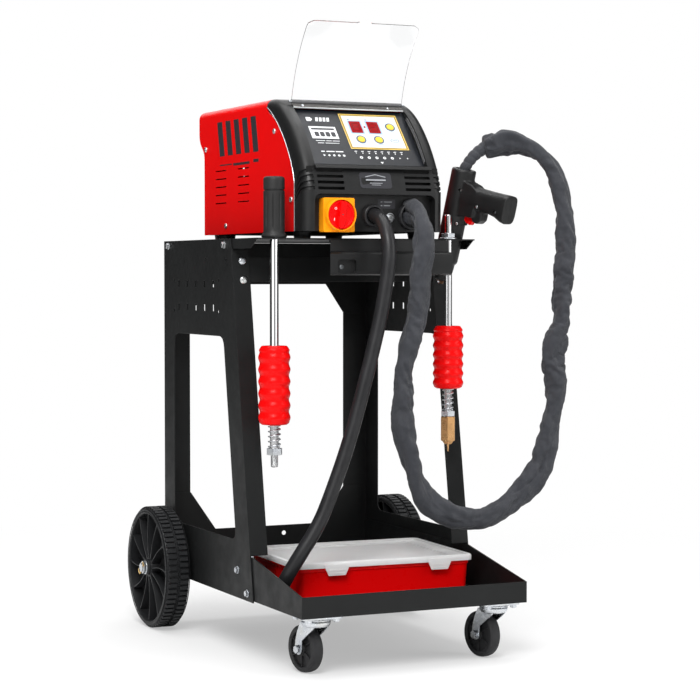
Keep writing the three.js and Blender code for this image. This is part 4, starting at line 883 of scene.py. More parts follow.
def add_left_hammer():
    rod_low, rod_high = cad_box("left_hammer_rod")
    grip_low, grip_high = cad_box("left_hammer_grip")
    x, y = cad_middle("left_hammer_grip")[:2]
    foot, seat = rod_low[2], cad_box("left_hammer_spring")[0][2] - 10.5
    tip = turned([(4.4, foot), (5.6, foot + 1.4), (5.6, seat + 1)], 40)
    rod = joined(disc(LEFT_ROD_R, seat + 9, rod_high[2], 56), tip)
    piece_of("left_hammer_shaft", shifted(rod, x, y), "chrome", "left_hammer_rod")
    nut = joined(nut_shape(seat, seat + 9.6, 13.0), thread(foot + 4, seat, 5.9))
    piece_of("left_hammer_nut", shifted(nut, x, y), "zinc", width=0.3)
    grip = shifted(hammer_grip(grip_low[2], grip_high[2]), x, y)
    piece_of("left_hammer_rubber", grip, "grip_rubber", "left_hammer_grip", smooth=50)
    add_slider("left", x, y, 8.9)


def hammer_chuck(bottom, top):
    """Hexagon chuck about Z with a cone and a pin under it."""
    shank = bottom + 18.4
    rings = [ring(12.0, 13.0, z, z + 1, 6) for z in (shank + 9, top - 7)]
    return joined(extruded(circle(12.8, 6), shank, top - 1.2), disc(11.0, shank - 0.5, top),
                  turned([(6.2, shank - 6), (11.2, shank + 0.2)], 6),
                  lathe([(0, bottom), (1.1, bottom + 0.6), (1.9, shank - 5), (0, shank - 5)], 20), *rings)


def add_right_hammer():
    rod_low, rod_high = cad_box("right_hammer_rod")
    chuck_low, chuck_high = cad_box("right_hammer_chuck")
    x, y = cad_middle("right_hammer_weight")[:2]
    seat, stop, r = SHELF_TOP + 0.3, cad_box("right_hammer_spring")[0][2], RIGHT_ROD_R
    rod = turned([(r, rod_low[2]), (r, seat + 9), (r - 0.5, seat + 9.4), (r - 0.5, rod_high[2] - 1),
                  (r - 1.5, rod_high[2])])
    piece_of("right_hammer_shaft", shifted(rod, x, y), "chrome", "right_hammer_rod")
    washer = turned([(14, seat), (14, seat + 1.6), (13.2, seat + 2.1)])
    nuts = joined(washer, nut_shape(seat + 2.4, seat + 8.8, 12.0), nut_shape(stop - 8.6, stop - 0.7, 12.2))
    piece_of("right_hammer_nuts", shifted(nuts, x, y), "zinc", width=0.3)
    chuck = shifted(hammer_chuck(chuck_low[2], chuck_high[2]), x, y)
    piece_of("right_hammer_jaw", chuck, "copper", "right_hammer_chuck", width=0.4)
    add_slider("right", x, y, 8.1)


# ------------------------------------------------------------------ cables

GROUND_CABLE_R, MAINS_CORD_R = 11.0, 5.0
SLEEVE_R, SLEEVE_SIDES, SLEEVE_STEP = 15.4, 40, 3.4
SLEEVE_FOLDS = 21
SLEEVE_CLOTH = {"quality": 6, "mass": 0.25, "tension_stiffness": 18, "compression_stiffness": 18,
                "shear_stiffness": 6, "bending_stiffness": 0.35, "shrink_min": -0.16, "air_damping": 3,
                "vertex_group_mass": "ends", "use_pressure": True, "uniform_pressure_force": 0.6}
SLEEVE_FRAMES = 20
SLEEVE_LARGEST_MOVE = 6.0
NECK_R = 7.4

GUN_AXIS = JOINTS["gun_trigger_pull"]["axis"]
GUN_YAW = math.atan2(-GUN_AXIS[1], -GUN_AXIS[0])
GUN_LEAN = math.radians(14.5)
GUN_TOP = 117.0
GUN_HOLDER_X, GUN_HOLDER_Y = 166.5, 212.0
GUN_TO_TROLLEY = (Matrix.Translation((GUN_HOLDER_X, GUN_HOLDER_Y, SHELF_TOP)) @ Matrix.Rotation(GUN_YAW, 4, "Z")
                  @ Matrix.Rotation(GUN_LEAN, 4, "X"))


def centreline(node, start, ring_size=8, reach=70):
    """Middles of a CAD cord's rings of vertices, walked from the end nearest to start: each ring is the
    nearest unused vertices, and a ring further than reach ends the walk."""
    points = np.array([v.co for v in NODES[node].data.vertices], float)
    points = np.unique(np.round((points - ORIGIN) / MM, 2), axis=0)
    here, middles = np.asarray(start, float), []
    while len(points) >= ring_size:
        distance = np.linalg.norm(points - here, axis=1)
        near = np.argsort(distance)[:ring_size]
        if middles and distance[near[-1]] > reach:
            break
        here = points[near].mean(axis=0)
        middles.append(here)
        points = np.delete(points, near, axis=0)
    return np.array(middles)


def behind(outlet):
    """A point inside the case, straight behind a cable outlet."""
    return cad_middle(outlet) + (0, 80, 0)


def add_earth_cable():
    line = centreline("ground_cable", behind("ground_cable_bush"))
    piece_of("earth_cable", tube(smooth_path(line, 7), GROUND_CABLE_R, 32), "cable_rubber", "ground_cable")


def add_mains_cord():
    """Cord at the back with a ribbed gland where it leaves the rear panel."""
    line = centreline("mains_cord", cad_middle("rear_panel"), reach=40)
    piece_of("mains_lead", tube(smooth_path(line, 4), MAINS_CORD_R), "cable_rubber", "mains_cord")
    rear = cad_box("rear_panel")[1][1]
    outlet = line[np.argmin(np.abs(line[:, 1] - rear))]
    profile = [(11, -2), (11, 2), (9.5, 3)]
    for i in range(5):
        profile += [(8.6 - 0.5 * i, 4 + 4 * i), (7.2 - 0.4 * i, 6 + 4 * i)]
    gland = facing(turned(profile + [(5.6, 24)], 36), "y", (outlet[0], rear, outlet[2]))
    piece_of("mains_gland", gland, "cable_rubber")


def sleeve_radius(share, angle):
    """Loose cloth tube: a slowly twisting flattened section, a long crease and short puckers."""
    along = share * SLEEVE_FOLDS
    twist = 1.1 * math.sin(0.9 * along) + 0.55 * along + 0.4
    oval = 1 + (0.20 + 0.10 * math.sin(1.7 * along + 0.6)) * math.cos(2 * (angle - twist))
    swell = 1 + 0.12 * noise.noise((1.1 * along, 3.1, 0.0))
    away = (angle - twist - 0.8 - 0.6 * math.sin(2.3 * along) + math.pi) % (2 * math.pi) - math.pi
    crease = -4.2 * math.exp(-(away / 0.2) ** 2) * (0.55 + 0.45 * math.sin(1.3 * along))
    around = (math.cos(angle) * 1.6, math.sin(angle) * 1.6)
    puckers = 3.8 * noise.noise((3.1 * along + 1.2 * math.sin(angle + along), *around))
    puckers += 1.2 * noise.noise((9.5 * along, around[0] * 1.5, around[1] * 1.5))
    closing = min(1.0, share * 14 + 0.68)
    flare = 1 + 0.10 * max(0.0, (share - 0.965) / 0.035)
    return (SLEEVE_R * oval * swell + crease + puckers) * closing * flare


def simulate_sleeve(piece):
    """Lets the cloth of the sleeve grow lengthways and buckle into folds, then keeps the shape."""
    rest = np.array([v.co for v in piece.data.vertices], float)
    last_rings = (len(rest) // SLEEVE_SIDES - 2) * SLEEVE_SIDES
    held = [*range(SLEEVE_SIDES * 2), *range(last_rings, last_rings + SLEEVE_SIDES * 2)]
    piece.vertex_groups.new(name="ends").add(held, 1.0, "REPLACE")
    cloth = piece.modifiers.new("cloth", "CLOTH")
    for name, value in SLEEVE_CLOTH.items():
        setattr(cloth.settings, name, value)
    cloth.settings.effector_weights.gravity = 0
    cloth.collision_settings.use_collision = False
    scene = bpy.context.scene
    for timeline in (scene, cloth.point_cache):
        timeline.frame_start, timeline.frame_end = 1, SLEEVE_FRAMES
    for step in range(1, SLEEVE_FRAMES + 1):
        scene.frame_set(step)
    graph = bpy.context.evaluated_depsgraph_get()
    moved = np.array([v.co for v in piece.evaluated_get(graph).data.vertices], float)
    piece.modifiers.remove(cloth)
    scene.frame_set(1)
    change = moved - rest
    length = np.linalg.norm(change, axis=1)
    cap = SLEEVE_LARGEST_MOVE * MM
    change *= np.where(length > cap, cap / np.maximum(length, 1e-9), 1.0)[:, None]
    piece.data.vertices.foreach_set("co", (rest + change).astype(np.float32).ravel())
    piece.data.update()


def tube_uv(piece, sides, rings):
    """U runs once round the tube and V from end to end."""
    layer = piece.data.uv_layers.new(name="weave")
    for polygon in piece.data.polygons:
        around = [piece.data.loops[i].vertex_index % sides for i in polygon.loop_indices]
        wraps = max(around) - min(around) > sides / 2
        for k, loop_index in zip(around, polygon.loop_indices):
            row = piece.data.loops[loop_index].vertex_index // sides
            layer.data[loop_index].uv = ((k + sides if wraps and k < sides / 2 else k) / sides, row / (rings - 1))


def neck_radius(share, angle):
    """Gathered cloth: a narrow cone with rings of small folds."""
    fold = abs(math.sin(math.pi * 6.5 * share + 0.5 * math.sin(angle)))
    return NECK_R + 2.8 * share ** 2 + 1.4 * fold ** 0.6


def add_sleeve():
    """Cloth sleeve of the gun cable, and the gathered neck where it ends on the gun. The CAD cord is followed
    up to a short way from the gun, and from there the sleeve runs straight to its open end."""
    line = centreline("gun_cable", behind("gun_cable_bush"))
    gun_top = np.array(GUN_TO_TROLLEY @ Vector((0, 0, GUN_TOP)))
    followed = line[[point[0] > gun_top[0] + 44 or point[2] < gun_top[2] - 30 for point in line]]
    open_end = gun_top + (34, -3, 34)
    path = smooth_path([*followed, open_end], SLEEVE_STEP)
    sleeve = new_object("cable_sleeve", tube(path, sleeve_radius, SLEEVE_SIDES))
    simulate_sleeve(sleeve)
    tube_uv(sleeve, SLEEVE_SIDES, len(path))
    finish(sleeve, "grey_fabric", "gun_cable", smooth=80)
    smoother = sleeve.modifiers.new("one subdivision", "SUBSURF")
    smoother.levels = smoother.render_levels = 1
    inward = np.array(GUN_TO_TROLLEY @ Vector((0, 0, GUN_TOP - 12)))
    over = (gun_top + open_end) / 2 + (-2, 0, 3)
    neck_path = smooth_path([inward, gun_top, over, open_end, path[-5]], 1.2)
    neck = piece_of("cable_neck", tube(neck_path, neck_radius, SLEEVE_SIDES), "grey_fabric", smooth=60)
    tube_uv(neck, SLEEVE_SIDES, len(neck_path))


# ------------------------------------------------------------------ gun

GUN_VOXEL, GUN_RELAX = 1.3, 12
GUN_SCREWS, GUN_SCREW_X = [(-12, 84), (-16, 30), (-49, 66), (-88, 66)], 12.4
HANDLE_SECTIONS = [(-8, 50, 101, 15.5, 0.75), (-24, 52, 97, 15.2, 0.7), (-44, 56, 95, 15.2, 0.7),
                   (-66, 58.5, 95, 15.4, 0.72), (-84, 56, 95.5, 16.0, 0.66), (-96, 51.5, 96, 16.8, 0.56),
                   (-106, 50, 96, 17.2, 0.5)]


def handle_section(y, low, high, width, squareness):
    """Superellipse across the handle at a distance along it."""
    middle, half = (low + high) / 2, (high - low) / 2
    points = []
    for c, s in circle(1, 36):
        points.append((width * math.copysign(abs(c) ** squareness, c), y,
                       middle + half * math.copysign(abs(s) ** squareness, s)))
    return points


def gun_body():
    """The gun about its own barrel axis Z; the handle points to -Y."""
    top = GUN_TOP
    barrel = turned([(17.5, -38), (19.2, -35.5), (19.5, -20), (20.0, top - 3), (19.6, top - 0.8), (18.6, top),
                     (12.4, top), (11.8, top - 1), (11.8, top - 9)], 64)
    collar = turned([(13.6, -57), (14.6, -55.6), (14.8, -52), (15.6, -46), (15.8, -37)], 56)
    nose = lathe([(0, -68), (10.8, -68), (12.0, -66.6), (12.0, -58.4), (10.8, -57.2), (0, -56)], 56)
    handle = loft([handle_section(*section) for section in HANDLE_SECTIONS])
    shoulder = rounded_outline([(-2, 42), (-2, 103), (-32, 97), (-44, 90), (-45, 46)], 5)
    guard = rounded_outline([(-38, 58), (-60, 58), (-59, 45), (-52, 37.5), (-42, 40)], 4)
    saddle = lathe([(0, 0), (12, 0), (9, 6), (5, 9), (0, 10)], 40)
    fillet = placed(saddle, Matrix.Translation((0, -18.5, 92)) @ Matrix.Rotation(math.radians(150), 4, "X"))
    flats = side_prism(shoulder, -14.4, 14.4), side_prism(guard, -9.5, 9.5)
    return joined(barrel, collar, nose, handle, *flats, fillet)


def blended_gun_mesh():
    """All the parts of the body grown into one skin with soft fillets. It stays in the gun's own frame."""
    work = new_object("gun_blend", gun_body())
    work.data.transform(Matrix.Translation(Vector(-ORIGIN)))
    remesh = work.modifiers.new("voxels", "REMESH")
    remesh.mode = "VOXEL"
    remesh.voxel_size = GUN_VOXEL * MM
    relax = work.modifiers.new("relax", "SMOOTH")
    relax.factor = 0.5
    relax.iterations = GUN_RELAX
    skin = applied_mesh(work)
    bpy.data.objects.remove(work)
    return skin


def gun_cutters():
    """Pocket for the trigger and sunk holes for the shell screws, in the gun's own frame."""
    hole = disc(2.9, 9.5, 21.5, 24)
    return joined(block(-5.6, 5.6, -45, -18, 28, 59), on_both_sides(hole, 0, 0, GUN_SCREWS))


def half_mesh(mesh, sign):
    """The part of a closed mesh on one side of a plane just off X = 0, closed there."""
    half = mesh.copy()
    work = bmesh.new()
    work.from_mesh(half)
    geometry = work.verts[:] + work.edges[:] + work.faces[:]
    cut = bmesh.ops.bisect_plane(work, geom=geometry, plane_co=(sign * 0.12 * MM, 0, 0), plane_no=(-sign, 0, 0),
                                 clear_outer=True)
    rim = [part for part in cut["geom_cut"] if isinstance(part, bmesh.types.BMEdge)]
    bmesh.ops.triangle_fill(work, use_beauty=True, edges=rim)
    bmesh.ops.recalc_face_normals(work, faces=work.faces)
    work.to_mesh(half)
    work.free()
    return half


def add_gun():
    skin, cutters = blended_gun_mesh(), shifted(gun_cutters(), *(-ORIGIN / MM))
    in_place = Matrix.Translation(Vector(ORIGIN)) @ Matrix.Scale(MM, 4) @ GUN_TO_TROLLEY @ Matrix.Scale(1 / MM, 4)
    for side, sign in (("left", -1), ("right", 1)):
        shell = bpy.data.objects.new(f"moulded_gun_{side}", half_mesh(skin, sign))
        bpy.context.scene.collection.objects.link(shell)
        cut_away(shell, cutters)
        shell.data.transform(in_place)
        finish(shell, "black_plastic", f"gun_shell_{side}", smooth=42)
    screws = on_both_sides(cross_screw(2.6, 1.4), -GUN_SCREW_X, GUN_SCREW_X, GUN_SCREWS)
    piece_of("gun_screws", placed(screws, GUN_TO_TROLLEY), "zinc")
    pad = rounded_outline([(-22, 57), (-38, 57), (-39.5, 40), (-37.5, 31.5), (-29, 34.5), (-23, 38)], 3.5)
    trigger = placed(side_prism(pad, -5, 5), GUN_TO_TROLLEY)
    piece_of("gun_trigger_pad", trigger, "red_plastic", "gun_trigger", width=1.4, segments=4)
    tip = lathe([(0, -74), (3.0, -73.8), (3.6, -73.2), (4.0, -70), (8.0, -69.6), (8.8, -68.6), (9.2, -66),
                 (9.2, -50), (0, -50)])
    piece_of("gun_tip", placed(tip, GUN_TO_TROLLEY), "used_copper", "gun_electrode")


# ------------------------------------------------------------------ welder: bezel

BEZEL_LOW, BEZEL_HIGH = cad_box("front_bezel")
BEZEL_FRONT = BEZEL_LOW[1]
BEZEL_REAR = BEZEL_HIGH[1] - 2
BEZEL_WALL = 3.6
CASE_HALF, CASE_BOTTOM, CASE_TOP = CASE_HIGH[0], CASE_LOW[2], CASE_HIGH[2]
KNEE, SEAM_KNEE = 725.0, 735.0
VENT_HEIGHT, VENT_DEPTH = 4.6, 2.6
VENTS = [728.3 + 9.3 * i for i in range(4)]
RECESS_HALF, RECESS_TOP = 104.0, 722.0
BUTTON_AXIS = JOINTS["set_button_1_press"]["axis"]
PANEL_SLOPE = math.atan2(BUTTON_AXIS[1], -BUTTON_AXIS[2])
PANEL_BOX = cad_box("control_panel")
PANEL_MARGIN, PANEL_THICK, PANEL_LENGTH = 1.2, 4.0, 123.2
PANEL_HALF = PANEL_BOX[1][0]
PANEL_LOW_Y = PANEL_BOX[0][1] - PANEL_MARGIN * math.cos(PANEL_SLOPE)
PANEL_LOW_Z = PANEL_BOX[0][2] - PANEL_MARGIN * math.sin(PANEL_SLOPE) + PANEL_THICK * math.cos(PANEL_SLOPE)
PANEL_HIGH_Y = PANEL_LOW_Y + PANEL_LENGTH * math.cos(PANEL_SLOPE)
PANEL_HIGH_Z = PANEL_LOW_Z + PANEL_LENGTH * math.sin(PANEL_SLOPE)
PANEL_TO_TROLLEY = Matrix.Translation((0, PANEL_LOW_Y, PANEL_LOW_Z)) @ Matrix.Rotation(PANEL_SLOPE, 4, "X")
HINGE = (np.array(JOINTS["visor_hinge"]["pos_m"]) - ORIGIN) / MM


def bezier(a, b, c, d, t):
    u = 1 - t
    weights = (u ** 3, 3 * u * u * t, 3 * u * t * t, t ** 3)
    return tuple(sum(weight * value for weight, value in zip(weights, axis)) for axis in zip(a, b, c, d))


def front_profile():
    """Outer side profile of the bezel as (Y, Z), from the floor of the case to the seam on top."""
    points = [(BEZEL_FRONT, z) for z in np.linspace(CASE_BOTTOM, KNEE, 12)]
    bend = (BEZEL_FRONT, KNEE), (BEZEL_FRONT - 1, 762), (222, CASE_TOP + 3), (BEZEL_REAR, CASE_TOP)
    dense = [bezier(*bend, t) for t in np.linspace(0, 1, 400)]
    depths, heights = np.array(dense[:300]).T
    grooves = [z + step for z in VENTS for step in (-0.5, 0.3, VENT_HEIGHT - 0.3, VENT_HEIGHT + 0.5)]
    points += [(float(np.interp(z, heights, depths)), z) for z in grooves]
    start = next(i for i, p in enumerate(dense) if p[1] > grooves[-1] + 1)
    points += dense[start::8]
    if points[-1] != dense[-1]:
        points.append(dense[-1])
    return points


def seam_point(share):
    """Seam between bezel and case on the side wall, as (Y, Z). It is upright for the first part of its way."""
    y, upright = CASE_LOW[1] - 0.3, 0.36
    if share < upright:
        return y, CASE_BOTTOM + (SEAM_KNEE - CASE_BOTTOM) * share / upright
    bend = (y, SEAM_KNEE), (y + 1, 772), (243, 840), (BEZEL_REAR, CASE_TOP - 13)
    return bezier(*bend, (share - upright) / (1 - upright))


def bezel_skin():
    """Front skin with rounded pillars, side walls and pillar grooves, as a sheet of quads."""
    profile = np.array(front_profile())
    tangent = np.gradient(profile, axis=0)
    tangent /= np.linalg.norm(tangent, axis=1)[:, None]
    length = np.concatenate([[0], np.cumsum(np.linalg.norm(np.diff(profile, axis=0), axis=1))])
    rows = []
    for (y, z), (along_y, along_z), share in zip(profile, tangent, length / length[-1]):
        radius = 17 - 4 * share
        depth = VENT_DEPTH if any(low < z < low + VENT_HEIGHT for low in VENTS) else 0.0
        row = []
        for a in np.linspace(math.pi / 2, 0, 11):
            drop = radius - (radius - depth) * math.cos(a)
            x = CASE_HALF - radius + (radius - depth) * math.sin(a)
            row.append((x, y + along_z * drop, z - along_y * drop))
        row += [(x, y, z) for x in np.linspace(CASE_HALF - radius - 1.2, 0, 6)]
        _, side_y, side_z = row[0]
        seam_y, seam_z = seam_point(share)
        to_y, to_z = seam_y - side_y, seam_z - side_z
        half = [(CASE_HALF - depth * (1 - t) ** 0.5, side_y + to_y * t, side_z + to_z * t) for t in (1.0, 0.93, 0.5)]
        half += row
        rows.append(half + [(-x, mirror_y, mirror_z) for x, mirror_y, mirror_z in half[-2::-1]])
    return [point for row in rows for point in row], grid_faces(len(rows), len(rows[0]))


def bezel_cutters():
    """The openings of the bezel: for the panel, for the recess of the switch, and the vents."""
    panel = [(PANEL_LOW_Y - 45, PANEL_LOW_Z), (PANEL_LOW_Y + 1, PANEL_LOW_Z), (PANEL_LOW_Y + 30, PANEL_LOW_Z - 4),
             (PANEL_HIGH_Y + 20, PANEL_HIGH_Z), (PANEL_HIGH_Y + 1, PANEL_HIGH_Z),
             (PANEL_HIGH_Y - 6, PANEL_HIGH_Z + 22), (PANEL_LOW_Y - 45, PANEL_HIGH_Z + 22)]
    parts = [side_prism(panel, -PANEL_HALF - 0.3, PANEL_HALF + 0.3)]
    mouth = [(-RECESS_HALF, CASE_BOTTOM - 20), (RECESS_HALF, CASE_BOTTOM - 20), (RECESS_HALF, RECESS_TOP),
             (-RECESS_HALF, RECESS_TOP)]
    parts.append(front_prism(rounded_outline(mouth, 10), BEZEL_FRONT - 6, BEZEL_FRONT + 8))
    for z in VENTS:
        for x in (-75.5, 75.0):
            vent = rounded_outline(rectangle(45, VENT_HEIGHT, x, z + VENT_HEIGHT / 2), 1.0, 3)
            parts.append(front_prism(vent, BEZEL_FRONT - 6, BEZEL_FRONT + 14))
    return joined(*parts)


def add_bezel():
    bezel = new_object("moulded_bezel", bezel_skin())
    thick = bezel.modifiers.new("wall", "SOLIDIFY")
    thick.thickness = BEZEL_WALL * MM
    thick.offset = -1
    skin = applied_mesh(bezel)
    bezel.modifiers.clear()
    bezel.data = skin
    cut_away(bezel, bezel_cutters())
    cut_away(bezel, facing(disc(5.2, -PANEL_HALF - 0.8, PANEL_HALF + 0.8, 40), "x", (0, HINGE[1], HINGE[2])))
    finish(bezel, "black_plastic", "front_bezel", width=0.5, smooth=35, limit=45)


def arch(half, top, foot, radius):
    """Upside-down U from the right foot over the two rounded top corners to the left foot."""
    outline = rounded_outline([(half, foot), (half, top), (-half, top), (-half, foot)], radius)
    corner_points = len(outline) // 4
    return [(half, CASE_BOTTOM), *outline[corner_points:3 * corner_points], (-half, CASE_BOTTOM)]


def add_bezel_inside():
    """Pocket behind the recess, cheeks beside the panel with their twin ribs, and the ledge under the panel. The
    ribs are black plastic, drawn light grey as a painted highlight along them.
    """
    outer_half, outer_top = RECESS_HALF + 3, RECESS_TOP + 3
    outer = arch(outer_half, outer_top, CASE_BOTTOM, 12)
    inner = arch(RECESS_HALF, RECESS_TOP, CASE_BOTTOM - 0.1, 10)
    wall = front_prism(outer + inner[::-1], BEZEL_FRONT + 2.5, RECESS_BACK + 0.4)
    sheet = rounded_outline([(-outer_half, CASE_BOTTOM), (-outer_half, outer_top), (outer_half, outer_top),
                             (outer_half, CASE_BOTTOM)], 0.4, 1)
    back = front_prism(sheet, RECESS_BACK, RECESS_BACK + 3)
    profile = [p for p in front_profile() if PANEL_LOW_Z - 3 < p[1] and p[0] < PANEL_HIGH_Y + 2]
    cheek = [(y + 1.6, z - 0.6) for y, z in profile]
    cheek += [(PANEL_HIGH_Y + 4, PANEL_HIGH_Z - 2), (PANEL_HIGH_Y + 4, PANEL_HIGH_Z - 9),
              (PANEL_LOW_Y + 8, PANEL_LOW_Z - 6), (PANEL_LOW_Y - 6, PANEL_LOW_Z - 6)]
    cheeks = [side_prism(cheek, *sorted((side * (PANEL_HALF + 0.35), side * (PANEL_HALF + 3.4))))
              for side in (-1, 1)]
    ledge = side_prism([(BEZEL_FRONT + 3, PANEL_LOW_Z - 6), (PANEL_LOW_Y - 0.6, PANEL_LOW_Z - 5.4),
                        (PANEL_LOW_Y - 0.6, PANEL_LOW_Z - 0.6), (BEZEL_FRONT + 6, PANEL_LOW_Z - 1.2)],
                       -PANEL_HALF - 3, PANEL_HALF + 3)
    piece_of("bezel_pocket", joined(wall, back, *cheeks, ledge), "black_plastic", width=0.4)
    ribs, trims = [], []
    seam = [seam_point(share) for share in np.linspace(0, 1, 60)]
    for side in (-1, 1):
        for inset in (4.2, 8.0):
            line = [(side * (PANEL_HALF + 0.5), y + inset * 0.74, z - inset * 0.66) for y, z in profile[3:-5]]
            ribs.append(tube(line, 0.75, 10))
        trims.append(tube([(side * (CASE_HALF + 0.05), y - 0.4, z) for y, z in seam], 0.75, 8))
    # Light grey on black plastic ribs: painted highlight along their edges.
    piece_of("bezel_ribs", joined(*ribs), "rib_print", slot="black_plastic")
    piece_of("seam_trim", joined(*trims), "zinc")
    # Near-black sheet behind the vents: painted shade for the dark inside of the case seen through them.
    shade_sheet = front_prism(rectangle(2 * CASE_HALF - 14, 42, 0, 744), BEZEL_FRONT + 11, BEZEL_FRONT + 12.5)
    piece_of("vent_painted_shade", shade_sheet, "dark_inside", slot="black_plastic")


def add_front_handle():
    """Moulded pull under the shelf: a set-back neck, a proud grip below it and a sunk screw pocket."""
    low, high = cad_box("front_handle")
    left, front, bottom, top, rear = low[0], low[1], low[2], high[2], low[1] + 22
    outline = [(rear, top), (front + 15, top), (front + 14, top - 18), (front + 2.4, top - 20),
               (front, top - 22.5), (front, bottom + 8), (front + 2.2, bottom + 2.2), (front + 7, bottom),
               (rear, bottom)]
    handle = new_object("moulded_front_handle", side_prism(outline, left, high[0]))
    pocket_x, pocket_z = left + 29, bottom + 14
    pocket = front_prism(rounded_outline(rectangle(32, 21, pocket_x, pocket_z), 5), front - 5, front + 6.5)
    slant = extruded([(left - 5, front - 9), (left - 5, rear + 5), (left + 12, rear + 5), (left + 1, front + 2)],
                     bottom - 5, top + 5)
    cut_away(handle, joined(pocket, slant))
    finish(handle, "black_plastic", "front_handle", width=1.4, segments=3, smooth=40)
    piece_of("handle_tongue", block(left + 18, high[0] - 12, rear - 6, high[1], top - 4, top), "black_plastic")
    head = facing(domed_bolt(4.2, 2.2), "-y", (pocket_x - 7, front + 6.6, pocket_z - 1))
    piece_of("handle_screw", head, "core_steel", slot="zinc")


# ------------------------------------------------------------------ welder: panel, switch, outlets

FILM = 0.1
BUTTONS = [(64.2, 87.0), (4.2, 57.5), (35.4, 57.5)]
DISPLAYS = [(-7.0, 13.0), (24.0, 44.0)]
DISPLAY_V = 84.8
# Lowest and highest point of the prints above the panel's face.
DISPLAY_INK = (0.5, 0.72)
PANEL_INK = (0, 0.22)
LABEL_INK = (0, 0.25)
LABEL_DARK_INK = (0.2, 0.36)
KNOB_DISC, KNOB_TURN = 22.8, -8


def on_panel(outline, low, high):
    """Prism of an outline drawn on the panel (X, up the slope), between two heights above its face."""
    return placed(extruded(outline, low, high), PANEL_TO_TROLLEY)


def at_panel(shape, x, v, height=0.0):
    return placed(shape, PANEL_TO_TROLLEY @ Matrix.Translation((x, v, height)))


def panel_frame(x0, x1, v0, v1, line, low, high):
    """Four bars round a rectangle on the panel."""
    bars = [(x0, x1, v0, v0 + line), (x0, x1, v1 - line, v1), (x0, x0 + line, v0 + line, v1 - line),
            (x1 - line, x1, v0 + line, v1 - line)]
    return joined(*[on_panel([(a, c), (b, c), (b, d), (a, d)], low, high) for a, b, c, d in bars])


def bar_mark(x0, x1, v, height, slant=0.0):
    low, high = v - height / 2, v + height / 2
    return [(x0, low), (x1, low), (x1 + slant, high), (x0 + slant, high)]


def panel_piece(name, shapes, look, **settings):
    return piece_of(name, joined(*shapes), look, **settings)


def add_display_plate():
    """Pale plate with holes for the buttons, its double gold border and the rings round the buttons."""
    outline = rounded_outline(rectangle(102, 78, 31, 75), 1.2)
    plate = piece_of("display_plate", on_panel(outline, FILM, FILM + 0.5), "plate_print")
    cut_away(plate, joined(*[at_panel(disc(6.35, -3, 3), x, v) for x, v in BUTTONS]))
    gold = [panel_frame(-20, 82, 36, 114, 1.7, FILM + 0.3, FILM + 0.65),
            panel_frame(-16.9, 78.9, 39.1, 110.9, 1.0, FILM + 0.3, FILM + 0.65)]
    panel_piece("display_border", gold, "gold_print")
    line = panel_frame(-18.3, 80.3, 37.7, 112.3, 1.3, FILM + 0.3, FILM + 0.6)
    piece_of("display_border_line", line, "dark_print")
    rim = ring_lathe([(6.4, 0.5), (8.7, 0.5), (8.4, 1.0), (6.6, 1.0)])
    panel_piece("button_rings", [at_panel(rim, x, v) for x, v in BUTTONS], "blue_print")


def add_displays():
    """Two unlit red displays, each with a dark figure, and the small lamp between them."""
    halo, lens, digits = [], [], []
    for left, right in DISPLAYS:
        middle, width = (left + right) / 2, right - left
        halo.append(on_panel(rounded_outline(rectangle(width + 4.4, 29.5, middle, DISPLAY_V), 1), 0.4, 0.75))
        lens.append(on_panel(rounded_outline(rectangle(width, 25.5, middle, DISPLAY_V), 0.8), 0.5, 1.25))
        strokes = [bar_mark(middle - 4.5, middle + 4.5, v, 1.3, 0.3) for v in (76.5, 84.8, 93.0)]
        strokes += [rectangle(1.3, 6.4, middle + x, v) for x in (-5.6, 5.6) for v in (80.6, 88.9)]
        digits += [on_panel(stroke, 1.1, 1.33) for stroke in strokes]
    panel_piece("display_halo", halo, "pale_print")
    panel_piece("display_lenses", lens, "display_red", width=0.3)
    panel_piece("display_digits", digits, "digit_red")
    lamp = lathe([(0, 0.5), (1.7, 0.5), (1.7, 1.2), (1.2, 1.9), (0, 2.1)], 24)
    piece_of("display_lamp", at_panel(lamp, 18.5, 85.6), "display_red")


def add_display_marks():
    """Blue print on the pale plate: an oval with a bar, and short lines at the buttons and the displays."""
    oval = placed(ring(3.6, 4.1, 0.5, 0.75), Matrix.Diagonal((1.9, 1, 1, 1)))
    lines = [bar_mark(59, 67.4, 56.5, 1.1)]
    lines += [bar_mark(x - 5, x + 5, v - 10.6, 0.7) for x, v in BUTTONS]
    lines += [bar_mark(left - 1, left + 3, 102, 1.4) for left, _ in DISPLAYS]
    marks = [at_panel(oval, 63.2, 56.5)] + [on_panel(line, *DISPLAY_INK) for line in lines]
    panel_piece("display_marks", marks, "blue_print")


